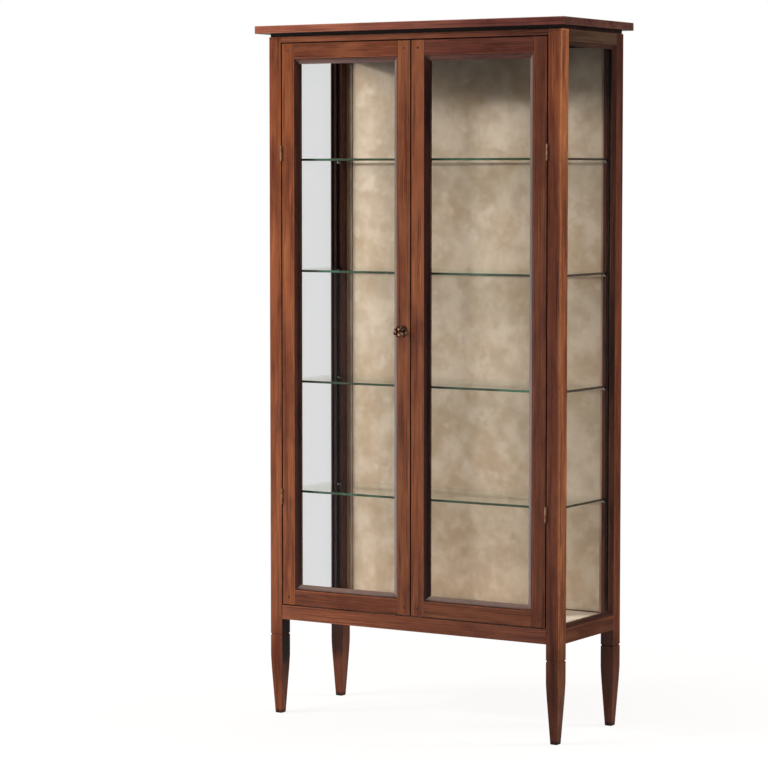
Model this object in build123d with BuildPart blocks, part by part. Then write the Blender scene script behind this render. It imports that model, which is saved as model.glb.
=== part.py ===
# Display cabinet: a tall glazed case on four tapered legs, with two inset glazed doors.
# Millimetres. X to the right, Y to the back, Z up. The origin is at the bottom centre
# of the whole object, which reaches from the key's bow in front to the top's rear edge.
import os
from math import atan, degrees

from build123d import *

# Overall
HEIGHT = 1800.0
BODY_WIDTH = 860.0
BODY_DEPTH = 332.0
POST = 37.0

# Top: a slab on a thin board that is set back from the frame
TOP_THICK = 20.0
TOP_SIDE = 24.0
TOP_FRONT = 32.0
TOP_BACK = 10.0
TOP_EASE = 2.0
UNDER_THICK = 8.0
UNDER_SET = 3.0

# Legs: the ring groove and the taper of each post's foot
LEG_HEIGHT = 252.0
RING_HEIGHT = 210.0
RING_WIDE = 4.0
RING_DEEP = 2.0
TAPER_HEIGHT = 152.0
TAPER_SOFT = 60.0
FOOT = 19.0
FOOT_EASE = 1.5
POST_EASE = 0.8

# Rails between the posts
BOTTOM_RAIL = 38.0
FRONT_TOP_RAIL = 15.0
SIDE_TOP_RAIL = 29.0
REAR_TOP_RAIL = 32.0
FRONT_RAIL_DEPTH = 30.0
SIDE_RAIL_DEPTH = 25.0
REAR_RAIL_DEPTH = 20.0
TENON = 12.0
TENON_THICK = 8.0
SHOULDER = 3.0
JOINT_PLAY = 0.2

# Floor
FLOOR_THICK = 11.0
FLOOR_LINING = 3.0
FLOOR_PLAY = 0.3
CLEAT = 12.0
CLEAT_PLAY = 1.0

# Back
PANEL_THICK = 4.0
PANEL_SET = 3.0
PANEL_GROOVE = 6.0
PANEL_PLAY = 0.5
PANEL_WALL = 3.0
BACK_LINING = 5.0
BATTEN_WIDE = 16.5
BATTEN_THICK = 7.0

# Glazing
GLASS = 4.0
GLASS_PLAY = 0.5
MITRE_PLAY = 0.05
MOULDING_LIP = 1.5
SIDE_GLASS_SET = 11.0
SIDE_MOULDING = 11.0
SIDE_MOULDING_SET = 1.0
SIDE_MOULDING_DROP = 7.0
SIDE_BEAD = 8.0
DOOR_GLASS_SET = 11.0
DOOR_MOULDING = 14.0
DOOR_MOULDING_SET = 0.8
DOOR_MOULDING_DROP = 7.5
DOOR_BEAD = 10.0

# Shelves
SHELVES = 4
SHELF_THICK = 6.0
FIRST_SHELF = 295.0
SHELF_STEP = 289.0
SHELF_END_PLAY = 1.5
SHELF_POST_PLAY = 1.5
PIN_RADIUS = 2.5
PIN_OUT = 9.0
PIN_IN = 7.0
PIN_COLLAR = 4.0
PIN_COLLAR_THICK = 1.0
PIN_FROM_END = 3.5
PIN_PLAY = 0.05
SHELF_EASE = 0.6

# Doors
DOOR_THICK = 22.0
DOOR_GAP = 2.0
STILE = 38.0
DOOR_RAIL = 40.0
DOOR_TENON = 28.0
DOOR_TENON_THICK = 7.0
DOOR_SHOULDER = 6.0
ARRIS = 0.8
PEG_RADIUS = 2.8
PEG_LONG = 17.0
PEG_PROUD = 0.5
PEG_PLAY = 0.05
STOP_HIGH = 10.0
STOP_THICK = 9.0
STOP_PLAY = 0.4
STOP_END_PLAY = 1.0

# Hinges
HINGE_FROM_END = 284.0
HINGE_HIGH = 38.0
HINGE_PROUD = 2.0
KNUCKLE_RADIUS = 3.0
KNUCKLE_PLAY = 0.4
LEAF_THICK = 1.8
LEAF_WIDE = 18.0
LEAF_PLAY = 0.1
HINGE_PIN_RADIUS = 1.5
HINGE_PIN_PLAY = 0.05
HINGE_TIP = 1.8

# Lock, escutcheon and key
LOCK_HEIGHT = 1020.0
CASE_WIDE = 36.0
CASE_DEEP = 9.0
CASE_ABOVE = 20.0
CASE_WALL = 1.2
BOLT_THICK = 3.0
BOLT_HIGH = 9.0
BOLT_BELOW_KEY = 3.0
BOLT_PLAY = 0.3
BOLT_THROW = 8.0
BOLT_FRONT_SPACE = 2.5
KEY_RUN_PLAY = 0.08
NOTCH_WIDE = 8.0
NOTCH_PLAY = 1.5
KEEP_SPARE = 8.0
KEEP_HIGH = 40.0
KEEP_THICK = 1.2
ESCUTCHEON_WIDE = 22.0
ESCUTCHEON_HIGH = 33.0
ESCUTCHEON_THICK = 1.2
ESCUTCHEON_BUD = 3.0
SHANK_RADIUS = 2.2
SHANK_PLAY = 0.6
BIT_LONG = 8.0
BIT_THICK = 2.4
BIT_WIDE = 3.6
BOW_STANDOFF = 22.0
BOW_LOBES = 3
BOW_RING = 8.0
BOW_LOBE = 8.0
BOW_HOLE = 4.9
BOW_THICK = 2.8
COLLAR_RADIUS = 3.6
COLLAR_LONG = 3.0

# Inside bolt that holds the right door
SLIDE_RADIUS = 3.0
SLIDE_TRAVEL = 10.0
SLIDE_HEAD_PLAY = 2.2
SLIDE_PLAY = 0.08
SLIDE_CLEAR = 3.0
SLIDE_PLATE_WIDE = 18.0
SLIDE_PLATE_THICK = 1.5
GUIDE_HIGH = 9.0
GUIDE_WALL = 2.0
KNOB_RADIUS = 2.5
KNOB_LONG = 7.0
KNOB_ROOM = 16.0
SLIDE_KEEP_WIDE = 24.0
SLIDE_KEEP_THICK = 1.8
SLIDE_KEEP_PLAY = 0.4

# Places worked out from the sizes
bow_middle = BOW_STANDOFF + BOW_LOBE + BOW_RING / 2
key_reach = bow_middle + BOW_RING + BOW_LOBE
front_reach = max(key_reach, TOP_FRONT)
front = front_reach - (front_reach + BODY_DEPTH + TOP_BACK) / 2
back = front + BODY_DEPTH
half = BODY_WIDTH / 2
inner = half - POST
frame_top = HEIGHT - TOP_THICK - UNDER_THICK
floor_top = LEG_HEIGHT + BOTTOM_RAIL
stop_top = frame_top - FRONT_TOP_RAIL
side_top = frame_top - SIDE_TOP_RAIL
rear_top = frame_top - REAR_TOP_RAIL
panel_front = back - PANEL_SET - PANEL_THICK
groove_low = floor_top - PANEL_GROOVE
groove_high = rear_top + PANEL_GROOVE
corners = {"front_left": (-1, 1), "front_right": (1, 1), "rear_left": (-1, -1), "rear_right": (1, -1)}

door_low = floor_top + DOOR_GAP
door_high = stop_top - DOOR_GAP
door_tall = door_high - door_low
door_wide = (2 * inner - 3 * DOOR_GAP) / 2
door_back = front + DOOR_THICK
hinge_x = inner - DOOR_GAP / 2
hinge_y = front - HINGE_PROUD
hinge_heights = (door_low + HINGE_FROM_END, door_high - HINGE_FROM_END)
shelf_bottoms = [floor_top + FIRST_SHELF + SHELF_STEP * i for i in range(SHELVES)]
shelf_end = half - SIDE_GLASS_SET - GLASS - SIDE_BEAD - SHELF_END_PLAY
pin_x = shelf_end - PIN_FROM_END
stile_middle = DOOR_GAP / 2 + STILE / 2
rail_middles = (door_low + DOOR_RAIL / 2, door_high - DOOR_RAIL / 2)

key_plane = Plane((-stile_middle, front, LOCK_HEIGHT), x_dir=(1, 0, 0), z_dir=(0, -1, 0))
case_below = BOLT_BELOW_KEY + BOLT_HIGH + BOLT_PLAY + CASE_WALL
bolt_front = door_back + BOLT_FRONT_SPACE
bolt_low = LOCK_HEIGHT - BOLT_BELOW_KEY - BOLT_HIGH
bolt_middle = bolt_low + BOLT_HIGH / 2
keep_x = (DOOR_GAP / 2, DOOR_GAP / 2 + BOLT_THROW + KEEP_SPARE)
keep_z = (bolt_middle - KEEP_HIGH / 2, bolt_middle + KEEP_HIGH / 2)

slide_y = door_back + STOP_PLAY + SLIDE_KEEP_THICK + SLIDE_KEEP_PLAY + SLIDE_RADIUS
slide_top = stop_top - SLIDE_KEEP_THICK - SLIDE_HEAD_PLAY - SLIDE_TRAVEL
slide_keep_low = slide_top + SLIDE_CLEAR
plate_high = slide_top - SLIDE_CLEAR
guide_high_z = plate_high - GUIDE_HIGH
guide_low_z = guide_high_z - GUIDE_HIGH - 2 * KNOB_RADIUS - SLIDE_TRAVEL - KNOB_ROOM
plate_low = guide_low_z - GUIDE_HIGH

os.makedirs("parts", exist_ok=True)


def save(part, name):
    """Label a finished piece and write it under its own name."""
    part.label = name
    export_step(part, f"parts/{name}.step")


def block(name, x, y, z, ease=0.0):
    """A plain board or bar between pairs of limits, with its edges eased if asked."""
    with BuildPart() as board:
        with BuildSketch(Plane.XY.offset(z[0])):
            with Locations(((x[0] + x[1]) / 2, (y[0] + y[1]) / 2)):
                Rectangle(x[1] - x[0], y[1] - y[0])
        extrude(amount=z[1] - z[0])
        if ease:
            chamfer(board.edges(), ease)
    save(board.part, name)


def top_board():
    """The slab: plain edges, softly rounded above and eased below."""
    with BuildPart() as slab:
        with BuildSketch(Plane.XY.offset(HEIGHT - TOP_THICK)):
            with Locations((0, (front - TOP_FRONT + back + TOP_BACK) / 2)):
                Rectangle(BODY_WIDTH + 2 * TOP_SIDE, BODY_DEPTH + TOP_FRONT + TOP_BACK)
        extrude(amount=TOP_THICK)
        fillet(slab.edges().filter_by(Axis.Z), TOP_EASE)
        fillet(slab.faces().sort_by(Axis.Z)[-1].edges(), TOP_EASE)
        chamfer(slab.faces().sort_by(Axis.Z)[0].edges(), TOP_EASE / 2)
    save(slab.part, "top_board")


def leg_outline():
    """Half the post's outline, seen square on, from its middle line to its face."""
    wide = POST / 2
    foot = FOOT / 2
    lean = (wide - foot) / TAPER_HEIGHT
    soft_low = TAPER_HEIGHT - TAPER_SOFT / 2
    soft_high = TAPER_HEIGHT + TAPER_SOFT / 2
    with BuildLine() as outline:
        Polyline(
            (0, 0),
            (foot - FOOT_EASE, 0),
            (foot + lean * FOOT_EASE, FOOT_EASE),
            (wide - lean * TAPER_SOFT / 2, soft_low),
        )
        Bezier((wide - lean * TAPER_SOFT / 2, soft_low), (wide, TAPER_HEIGHT), (wide, soft_high))
        Line((wide, soft_high), (wide, RING_HEIGHT - RING_WIDE / 2))
        ThreePointArc(
            (wide, RING_HEIGHT - RING_WIDE / 2),
            (wide - RING_DEEP, RING_HEIGHT),
            (wide, RING_HEIGHT + RING_WIDE / 2),
        )
        Polyline(
            (wide, RING_HEIGHT + RING_WIDE / 2),
            (wide, frame_top),
            (0, frame_top),
            (0, 0),
        )
    return outline.line


def tenon_span(low, high):
    """The heights of a tenon on a rail from low to high."""
    return low + SHOULDER, high - SHOULDER


def tenon_set(face):
    """How far the middle of a cross rail's tenon lies behind its outer face."""
    if face > 0:
        return FRONT_RAIL_DEPTH / 2
    return PANEL_SET + PANEL_THICK + PANEL_WALL + TENON_THICK / 2


def post(name, side, face):
    """A corner post and its leg. side is -1 at the left, face is 1 at the front."""
    x_mid = side * (half - POST / 2)
    y_face = front if face > 0 else back
    y_mid = y_face + face * POST / 2
    y_in = y_face + face * POST
    outline = leg_outline()
    with BuildPart() as leg:
        with BuildSketch(Plane((x_mid, y_mid, 0), x_dir=(1, 0, 0), z_dir=(0, -1, 0))):
            make_face(outline)
            mirror(about=Plane.YZ)
        extrude(amount=POST / 2, both=True)
        with BuildSketch(Plane((x_mid, y_mid, 0), x_dir=(0, 1, 0), z_dir=(1, 0, 0))):
            make_face(outline)
            mirror(about=Plane.YZ)
        extrude(amount=POST / 2, both=True, mode=Mode.INTERSECT)
        with BuildSketch() as plan:
            with Locations((x_mid, y_mid)):
                Rectangle(POST, POST)
            chamfer(plan.vertices(), POST_EASE)
        extrude(amount=frame_top, mode=Mode.INTERSECT)

        # Mortises for the rails that meet this post
        rail_top = stop_top if face > 0 else rear_top
        tenon_y = y_face + face * tenon_set(face)
        tenon_x = side * (half - SIDE_RAIL_DEPTH / 2)
        for low, high in ((LEG_HEIGHT, floor_top), (rail_top, frame_top)):
            z_low, z_high = tenon_span(low, high)
            with Locations((side * (inner + (TENON + JOINT_PLAY) / 2), tenon_y, (z_low + z_high) / 2)):
                Box(
                    TENON + JOINT_PLAY,
                    TENON_THICK + 2 * JOINT_PLAY,
                    z_high - z_low + 2 * JOINT_PLAY,
                    mode=Mode.SUBTRACT,
                )
        for low, high in ((LEG_HEIGHT, floor_top), (side_top, frame_top)):
            z_low, z_high = tenon_span(low, high)
            with Locations((tenon_x, y_in - face * (TENON + JOINT_PLAY) / 2, (z_low + z_high) / 2)):
                Box(
                    TENON_THICK + 2 * JOINT_PLAY,
                    TENON + JOINT_PLAY,
                    z_high - z_low + 2 * JOINT_PLAY,
                    mode=Mode.SUBTRACT,
                )

        # Holes for the shelf pins
        for shelf in shelf_bottoms:
            with Locations(Plane((side * pin_x, y_in, shelf - PIN_RADIUS), z_dir=(0, face, 0))):
                Hole(PIN_RADIUS + PIN_PLAY, PIN_IN + PIN_PLAY)

        if face > 0:
            # Recesses for the hinge leaves and barrels
            for middle in hinge_heights:
                with Locations((side * (inner + LEAF_THICK / 2), front + LEAF_WIDE / 2, middle)):
                    Box(
                        LEAF_THICK,
                        LEAF_WIDE + 2 * LEAF_PLAY,
                        HINGE_HIGH + 2 * LEAF_PLAY,
                        mode=Mode.SUBTRACT,
                    )
                with Locations((side * hinge_x, hinge_y, middle)):
                    Cylinder(
                        KNUCKLE_RADIUS + KNUCKLE_PLAY,
                        HINGE_HIGH + 2 * (HINGE_TIP + KNUCKLE_PLAY),
                        mode=Mode.SUBTRACT,
                    )
        else:
            # Groove for the back panel
            groove_x = side * (inner + PANEL_GROOVE / 2)
            with Locations((groove_x, panel_front + PANEL_THICK / 2, (groove_low + groove_high) / 2)):
                Box(PANEL_GROOVE, PANEL_THICK, groove_high - groove_low, mode=Mode.SUBTRACT)
    save(leg.part, f"post_{name}")


def mitred_bars(name, face, width, height, bar, thick, drop=0.0):
    """Four mitred bars lining an opening. face is the plane of their front, and its z direction
    points into the case. With a drop, the bars slope from a narrow lip down towards the glass."""
    with BuildPart() as bars:
        with BuildSketch(face):
            for end in (-1, 1):
                with BuildLine():
                    Polyline(
                        (-width / 2 + MITRE_PLAY, end * height / 2),
                        (width / 2 - MITRE_PLAY, end * height / 2),
                        (width / 2 - bar - MITRE_PLAY, end * (height / 2 - bar)),
                        (-width / 2 + bar + MITRE_PLAY, end * (height / 2 - bar)),
                        close=True,
                    )
                make_face()
                with BuildLine():
                    Polyline(
                        (end * width / 2, -height / 2 + MITRE_PLAY),
                        (end * width / 2, height / 2 - MITRE_PLAY),
                        (end * (width / 2 - bar), height / 2 - bar - MITRE_PLAY),
                        (end * (width / 2 - bar), -height / 2 + bar + MITRE_PLAY),
                        close=True,
                    )
                make_face()
        extrude(amount=thick)
        if drop:
            with BuildSketch(face):
                Rectangle(width - 2 * MOULDING_LIP, height - 2 * MOULDING_LIP)
            slope = degrees(atan((bar - MOULDING_LIP) / drop))
            extrude(amount=drop, taper=slope, mode=Mode.SUBTRACT)
    save(bars.part, name)


def cross_rail(name, face, low, high, groove=None):
    """A rail across the front or the back, with a tenon at each end. groove holds the height
    of the lower and upper side of a groove for the back panel."""
    y_face = front if face > 0 else back
    depth = FRONT_RAIL_DEPTH if face > 0 else REAR_RAIL_DEPTH
    z_low, z_high = tenon_span(low, high)
    with BuildPart() as rail:
        with Locations((0, y_face + face * depth / 2, (low + high) / 2)):
            Box(2 * inner, depth, high - low)
        chamfer(rail.edges().filter_by(Axis.X), ARRIS)
        with Locations((0, y_face + face * tenon_set(face), (z_low + z_high) / 2)):
            Box(2 * (inner + TENON), TENON_THICK, z_high - z_low)
        if groove:
            with Locations((0, panel_front + PANEL_THICK / 2, (groove[0] + groove[1]) / 2)):
                Box(2 * inner, PANEL_THICK, groove[1] - groove[0], mode=Mode.SUBTRACT)
    save(rail.part, name)


def side_rail(name, side, low, high):
    """A rail along one side, from front post to rear post, with a tenon at each end."""
    z_low, z_high = tenon_span(low, high)
    x_mid = side * (half - SIDE_RAIL_DEPTH / 2)
    y_mid = (front + back) / 2
    with BuildPart() as rail:
        with Locations((x_mid, y_mid, (low + high) / 2)):
            Box(SIDE_RAIL_DEPTH, BODY_DEPTH - 2 * POST, high - low)
        chamfer(rail.edges().filter_by(Axis.Y), ARRIS)
        with Locations((x_mid, y_mid, (z_low + z_high) / 2)):
            Box(TENON_THICK, BODY_DEPTH - 2 * (POST - TENON), z_high - z_low)
    save(rail.part, name)


def floor_plate(name, low, high):
    """A sheet that fills the floor inside the rails, notched round the four posts."""
    x_reach = half - SIDE_RAIL_DEPTH - FLOOR_PLAY
    y_low = front + FRONT_RAIL_DEPTH + FLOOR_PLAY
    y_high = back - REAR_RAIL_DEPTH - FLOOR_PLAY
    with BuildPart() as plate:
        with BuildSketch(Plane.XY.offset(low)):
            with Locations((0, (y_low + y_high) / 2)):
                Rectangle(2 * x_reach, y_high - y_low)
            for side, face in corners.values():
                y_face = front if face > 0 else back
                with Locations((side * (half - POST / 2), y_face + face * POST / 2)):
                    Rectangle(POST + 2 * FLOOR_PLAY, POST + 2 * FLOOR_PLAY, mode=Mode.SUBTRACT)
        extrude(amount=high - low)
    save(plate.part, name)


def floor_cleats():
    """Four square cleats on the inner faces of the bottom rails, which carry the floor."""
    top = floor_top - FLOOR_LINING - FLOOR_THICK
    x_side = half - SIDE_RAIL_DEPTH
    x_reach = min(inner, x_side - CLEAT) - CLEAT_PLAY
    y_low = front + FRONT_RAIL_DEPTH
    y_high = back - REAR_RAIL_DEPTH
    with BuildPart() as cleats:
        for y_mid in (y_low + CLEAT / 2, y_high - CLEAT / 2):
            with Locations((0, y_mid, top - CLEAT / 2)):
                Box(2 * x_reach, CLEAT, CLEAT)
        for side in (-1, 1):
            with Locations((side * (x_side - CLEAT / 2), (front + back) / 2, top - CLEAT / 2)):
                Box(CLEAT, BODY_DEPTH - 2 * (POST + CLEAT_PLAY), CLEAT)
    save(cleats.part, "floor_cleats")


def shelf_pins():
    """A pin with a collar under each corner of each shelf, set into the post beside it."""
    with BuildPart() as pins:
        for shelf in shelf_bottoms:
            for side, face in corners.values():
                y_in = (front if face > 0 else back) + face * POST
                seat = Plane((side * pin_x, y_in, shelf - PIN_RADIUS), z_dir=(0, face, 0))
                with BuildSketch(seat.offset(-PIN_IN)):
                    Circle(PIN_RADIUS)
                extrude(amount=PIN_IN + PIN_OUT)
                with BuildSketch(seat):
                    Circle(PIN_COLLAR)
                extrude(amount=PIN_COLLAR_THICK)
    save(pins.part, "shelf_pins")


def back_battens():
    """Two upright battens that cover the edges of the lining, beside the rear posts."""
    y_mid = panel_front - BATTEN_THICK / 2
    with BuildPart() as battens:
        for side in (-1, 1):
            with Locations((side * (inner - BATTEN_WIDE / 2), y_mid, (floor_top + rear_top) / 2)):
                Box(BATTEN_WIDE, BATTEN_THICK, rear_top - floor_top)
    save(battens.part, "back_battens")


def door_stop():
    """Two strips under the front top rail, which the doors close against."""
    z_mid = stop_top - STOP_HIGH / 2
    y_mid = door_back + STOP_PLAY + STOP_THICK / 2
    left_end = stile_middle - SLIDE_KEEP_WIDE / 2 - STOP_END_PLAY
    right_start = stile_middle + SLIDE_KEEP_WIDE / 2 + STOP_END_PLAY
    with BuildPart() as strips:
        for x_low, x_high in ((-inner, left_end), (right_start, inner)):
            with Locations(((x_low + x_high) / 2, y_mid, z_mid)):
                Box(x_high - x_low, STOP_THICK, STOP_HIGH)
        chamfer(strips.faces().sort_by(Axis.Z)[0].edges().filter_by(Axis.X), ARRIS)
    save(strips.part, "door_stop")


def hinge_leaves(name, sides, x_plate, keeps_middle):
    """The leaves on one side of the hinges, each a plate with its share of the knuckles.
    x_plate holds the plate's limits, as distances from the middle of the case."""
    knuckle = (HINGE_HIGH - 2 * KNUCKLE_PLAY) / 3
    plate_front = hinge_y + KNUCKLE_RADIUS + KNUCKLE_PLAY
    plate_back = front + LEAF_WIDE
    x_mid = (x_plate[0] + x_plate[1]) / 2
    steps = (1,) if keeps_middle else (0, 2)
    with BuildPart() as leaves:
        for side in sides:
            for middle in hinge_heights:
                low = middle - HINGE_HIGH / 2
                with BuildSketch(Plane.XY.offset(low)):
                    with Locations((side * x_mid, (plate_front + plate_back) / 2)):
                        Rectangle(LEAF_THICK, plate_back - plate_front)
                extrude(amount=HINGE_HIGH)
                for step in steps:
                    with BuildSketch(Plane.XY.offset(low + step * (knuckle + KNUCKLE_PLAY))):
                        with Locations((side * hinge_x, hinge_y)):
                            Circle(KNUCKLE_RADIUS)
                        with Locations((side * x_mid, (hinge_y + plate_front + LEAF_THICK) / 2)):
                            Rectangle(LEAF_THICK, plate_front + LEAF_THICK - hinge_y)
                        with Locations((side * hinge_x, hinge_y)):
                            Circle(HINGE_PIN_RADIUS + HINGE_PIN_PLAY, mode=Mode.SUBTRACT)
                    extrude(amount=knuckle)
    save(leaves.part, name)


def hinge_pins():
    """The pins of the four hinges, each with a rounded tip above and below its barrel."""
    with BuildPart() as pins:
        for side in (-1, 1):
            for middle in hinge_heights:
                low = middle - HINGE_HIGH / 2
                high = middle + HINGE_HIGH / 2
                axis = Plane((side * hinge_x, hinge_y, 0), x_dir=(1, 0, 0), z_dir=(0, -1, 0))
                with BuildSketch(axis):
                    with BuildLine():
                        Line((0, low - HINGE_TIP), (0, high + HINGE_TIP))
                        TangentArc((0, high + HINGE_TIP), (KNUCKLE_RADIUS, high), tangent=(1, 0))
                        Polyline(
                            (KNUCKLE_RADIUS, high),
                            (HINGE_PIN_RADIUS, high),
                            (HINGE_PIN_RADIUS, low),
                            (KNUCKLE_RADIUS, low),
                        )
                        TangentArc((0, low - HINGE_TIP), (KNUCKLE_RADIUS, low), tangent=(1, 0))
                    make_face()
                revolve(axis=Axis((side * hinge_x, hinge_y, 0), (0, 0, 1)))
    save(pins.part, "hinge_pins")


def keyhole(part_face, depth):
    """The keyhole's outline, cut from a face of the piece in work to a depth."""
    with BuildPart(mode=Mode.PRIVATE) as hole:
        with BuildSketch(part_face):
            Circle(SHANK_RADIUS + SHANK_PLAY)
            with Locations((0, -(BIT_LONG + SHANK_PLAY) / 2)):
                Rectangle(BIT_THICK + 2 * SHANK_PLAY, BIT_LONG + SHANK_PLAY)
        extrude(amount=depth)
    return hole.part


def stile(name, side, at_hinge):
    """An upright of a door, with mortises for the two rails and holes for their pegs."""
    outer = inner - DOOR_GAP if at_hinge else DOOR_GAP / 2
    into = -1 if at_hinge else 1
    x_mid = side * (outer + into * STILE / 2)
    x_mortise = side * (outer + into * (STILE - (DOOR_TENON + JOINT_PLAY) / 2))
    y_mid = front + DOOR_THICK / 2
    with BuildPart() as upright:
        with Locations((x_mid, y_mid, (door_low + door_high) / 2)):
            Box(STILE, DOOR_THICK, door_tall)
        chamfer(upright.edges().filter_by(Axis.Z), ARRIS)
        for z_mid in rail_middles:
            with Locations((x_mortise, y_mid, z_mid)):
                Box(
                    DOOR_TENON + JOINT_PLAY,
                    DOOR_TENON_THICK + 2 * JOINT_PLAY,
                    DOOR_RAIL - 2 * DOOR_SHOULDER + 2 * JOINT_PLAY,
                    mode=Mode.SUBTRACT,
                )
            with Locations(Plane((x_mid, front, z_mid), z_dir=(0, -1, 0))):
                Hole(PEG_RADIUS + PEG_PLAY, PEG_LONG - PEG_PROUD + PEG_PLAY)
        if at_hinge:
            for middle in hinge_heights:
                with Locations((side * (outer - LEAF_THICK / 2), front + LEAF_WIDE / 2, middle)):
                    Box(
                        LEAF_THICK,
                        LEAF_WIDE + 2 * LEAF_PLAY,
                        HINGE_HIGH + 2 * LEAF_PLAY,
                        mode=Mode.SUBTRACT,
                    )
                with Locations((side * hinge_x, hinge_y, middle)):
                    Cylinder(
                        KNUCKLE_RADIUS + KNUCKLE_PLAY,
                        HINGE_HIGH + 2 * (HINGE_TIP + KNUCKLE_PLAY),
                        mode=Mode.SUBTRACT,
                    )
        elif side < 0:
            add(keyhole(key_plane.offset(-DOOR_THICK), DOOR_THICK), mode=Mode.SUBTRACT)
    save(upright.part, name)


def door_rail(name, side, z_mid):
    """A rail of a door, with a tenon at each end that its peg passes through."""
    x_low = DOOR_GAP / 2 + STILE
    x_high = inner - DOOR_GAP - STILE
    x_mid = side * (x_low + x_high) / 2
    y_mid = front + DOOR_THICK / 2
    with BuildPart() as rail:
        with Locations((x_mid, y_mid, z_mid)):
            Box(x_high - x_low, DOOR_THICK, DOOR_RAIL)
        chamfer(rail.edges().filter_by(Axis.X), ARRIS)
        with Locations((x_mid, y_mid, z_mid)):
            Box(x_high - x_low + 2 * DOOR_TENON, DOOR_TENON_THICK, DOOR_RAIL - 2 * DOOR_SHOULDER)
        for x_peg in (x_low - STILE / 2, x_high + STILE / 2):
            with Locations(Plane((side * x_peg, y_mid, z_mid), z_dir=(0, -1, 0))):
                Cylinder(PEG_RADIUS + PEG_PLAY, DOOR_THICK, mode=Mode.SUBTRACT)
    save(rail.part, name)


def door_pegs(name, side):
    """Round wooden pegs through a door's four corner joints, a little proud of its face."""
    with BuildPart() as pegs:
        for x_peg in (stile_middle, inner - DOOR_GAP - STILE / 2):
            for z_mid in rail_middles:
                with BuildSketch(Plane((side * x_peg, front - PEG_PROUD, z_mid), z_dir=(0, 1, 0))):
                    Circle(PEG_RADIUS)
                extrude(amount=PEG_LONG)
        chamfer(pegs.edges().group_by(Axis.Y)[0], PEG_PROUD / 2)
    save(pegs.part, name)


def door(side_name, side):
    """One door: its frame, pegs, moulding, glass, glazing beads and hinge leaves."""
    meeting = "lock_stile" if side < 0 else "meeting_stile"
    stile(f"{side_name}_door_hinge_stile", side, True)
    stile(f"{side_name}_door_{meeting}", side, False)
    door_rail(f"{side_name}_door_bottom_rail", side, rail_middles[0])
    door_rail(f"{side_name}_door_top_rail", side, rail_middles[1])
    door_pegs(f"{side_name}_door_pegs", side)
    x_low = DOOR_GAP / 2 + STILE
    x_high = inner - DOOR_GAP - STILE
    x_mid = side * (x_low + x_high) / 2
    z_mid = (door_low + door_high) / 2
    width = x_high - x_low
    height = door_tall - 2 * DOOR_RAIL
    moulding_face = Plane((x_mid, front + DOOR_MOULDING_SET, z_mid), x_dir=(1, 0, 0), z_dir=(0, 1, 0))
    bead_face = Plane((x_mid, front + DOOR_GLASS_SET + GLASS, z_mid), x_dir=(1, 0, 0), z_dir=(0, 1, 0))
    mitred_bars(
        f"{side_name}_door_moulding",
        moulding_face,
        width,
        height,
        DOOR_MOULDING,
        DOOR_GLASS_SET - DOOR_MOULDING_SET,
        DOOR_MOULDING_DROP,
    )
    mitred_bars(
        f"{side_name}_door_beads", bead_face, width, height, DOOR_BEAD, DOOR_THICK - DOOR_GLASS_SET - GLASS
    )
    block(
        f"{side_name}_door_glass",
        (x_mid - width / 2 + GLASS_PLAY, x_mid + width / 2 - GLASS_PLAY),
        (front + DOOR_GLASS_SET, front + DOOR_GLASS_SET + GLASS),
        (z_mid - height / 2 + GLASS_PLAY, z_mid + height / 2 - GLASS_PLAY),
    )
    leaf_face = inner - DOOR_GAP
    hinge_leaves(f"{side_name}_door_hinge_leaves", (side,), (leaf_face - LEAF_THICK, leaf_face), True)


def side_frame(side_name, side):
    """The glazing of one side: pane, bevelled outer moulding and inner beads."""
    y_mid = (front + back) / 2
    z_mid = (floor_top + side_top) / 2
    width = BODY_DEPTH - 2 * POST
    height = side_top - floor_top
    x_glass = half - SIDE_GLASS_SET
    x_outer = half - SIDE_MOULDING_SET
    moulding_face = Plane((side * x_outer, y_mid, z_mid), x_dir=(0, 1, 0), z_dir=(-side, 0, 0))
    bead_face = Plane((side * (x_glass - GLASS), y_mid, z_mid), x_dir=(0, 1, 0), z_dir=(-side, 0, 0))
    mitred_bars(
        f"{side_name}_side_moulding",
        moulding_face,
        width,
        height,
        SIDE_MOULDING,
        SIDE_GLASS_SET - SIDE_MOULDING_SET,
        SIDE_MOULDING_DROP,
    )
    mitred_bars(f"{side_name}_side_beads", bead_face, width, height, SIDE_BEAD, SIDE_BEAD)
    x_limits = sorted((side * x_glass, side * (x_glass - GLASS)))
    block(
        f"{side_name}_side_glass",
        x_limits,
        (y_mid - width / 2 + GLASS_PLAY, y_mid + width / 2 - GLASS_PLAY),
        (z_mid - height / 2 + GLASS_PLAY, z_mid + height / 2 - GLASS_PLAY),
    )


def lock_case():
    """A thin case on the inside of the lock stile, open towards the stile."""
    x_edge = -DOOR_GAP / 2
    z_low = LOCK_HEIGHT - case_below
    z_high = LOCK_HEIGHT + CASE_ABOVE
    with BuildPart() as case:
        with Locations((x_edge - CASE_WIDE / 2, door_back + CASE_DEEP / 2, (z_low + z_high) / 2)):
            Box(CASE_WIDE, CASE_DEEP, z_high - z_low)
        offset(amount=-CASE_WALL, openings=case.faces().sort_by(Axis.Y)[0])
        # Slot for the bolt's end, and a hole for the end of the key
        with Locations((x_edge, bolt_front + BOLT_THICK / 2, bolt_low + BOLT_HIGH / 2)):
            Box(
                2 * CASE_WALL + BOLT_PLAY,
                BOLT_THICK + 2 * BOLT_PLAY,
                BOLT_HIGH + 2 * BOLT_PLAY,
                mode=Mode.SUBTRACT,
            )
        with Locations(Plane((-stile_middle, door_back + CASE_DEEP, LOCK_HEIGHT), z_dir=(0, 1, 0))):
            Hole(SHANK_RADIUS + KEY_RUN_PLAY, 2 * CASE_WALL)
    save(case.part, "lock_case")


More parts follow.
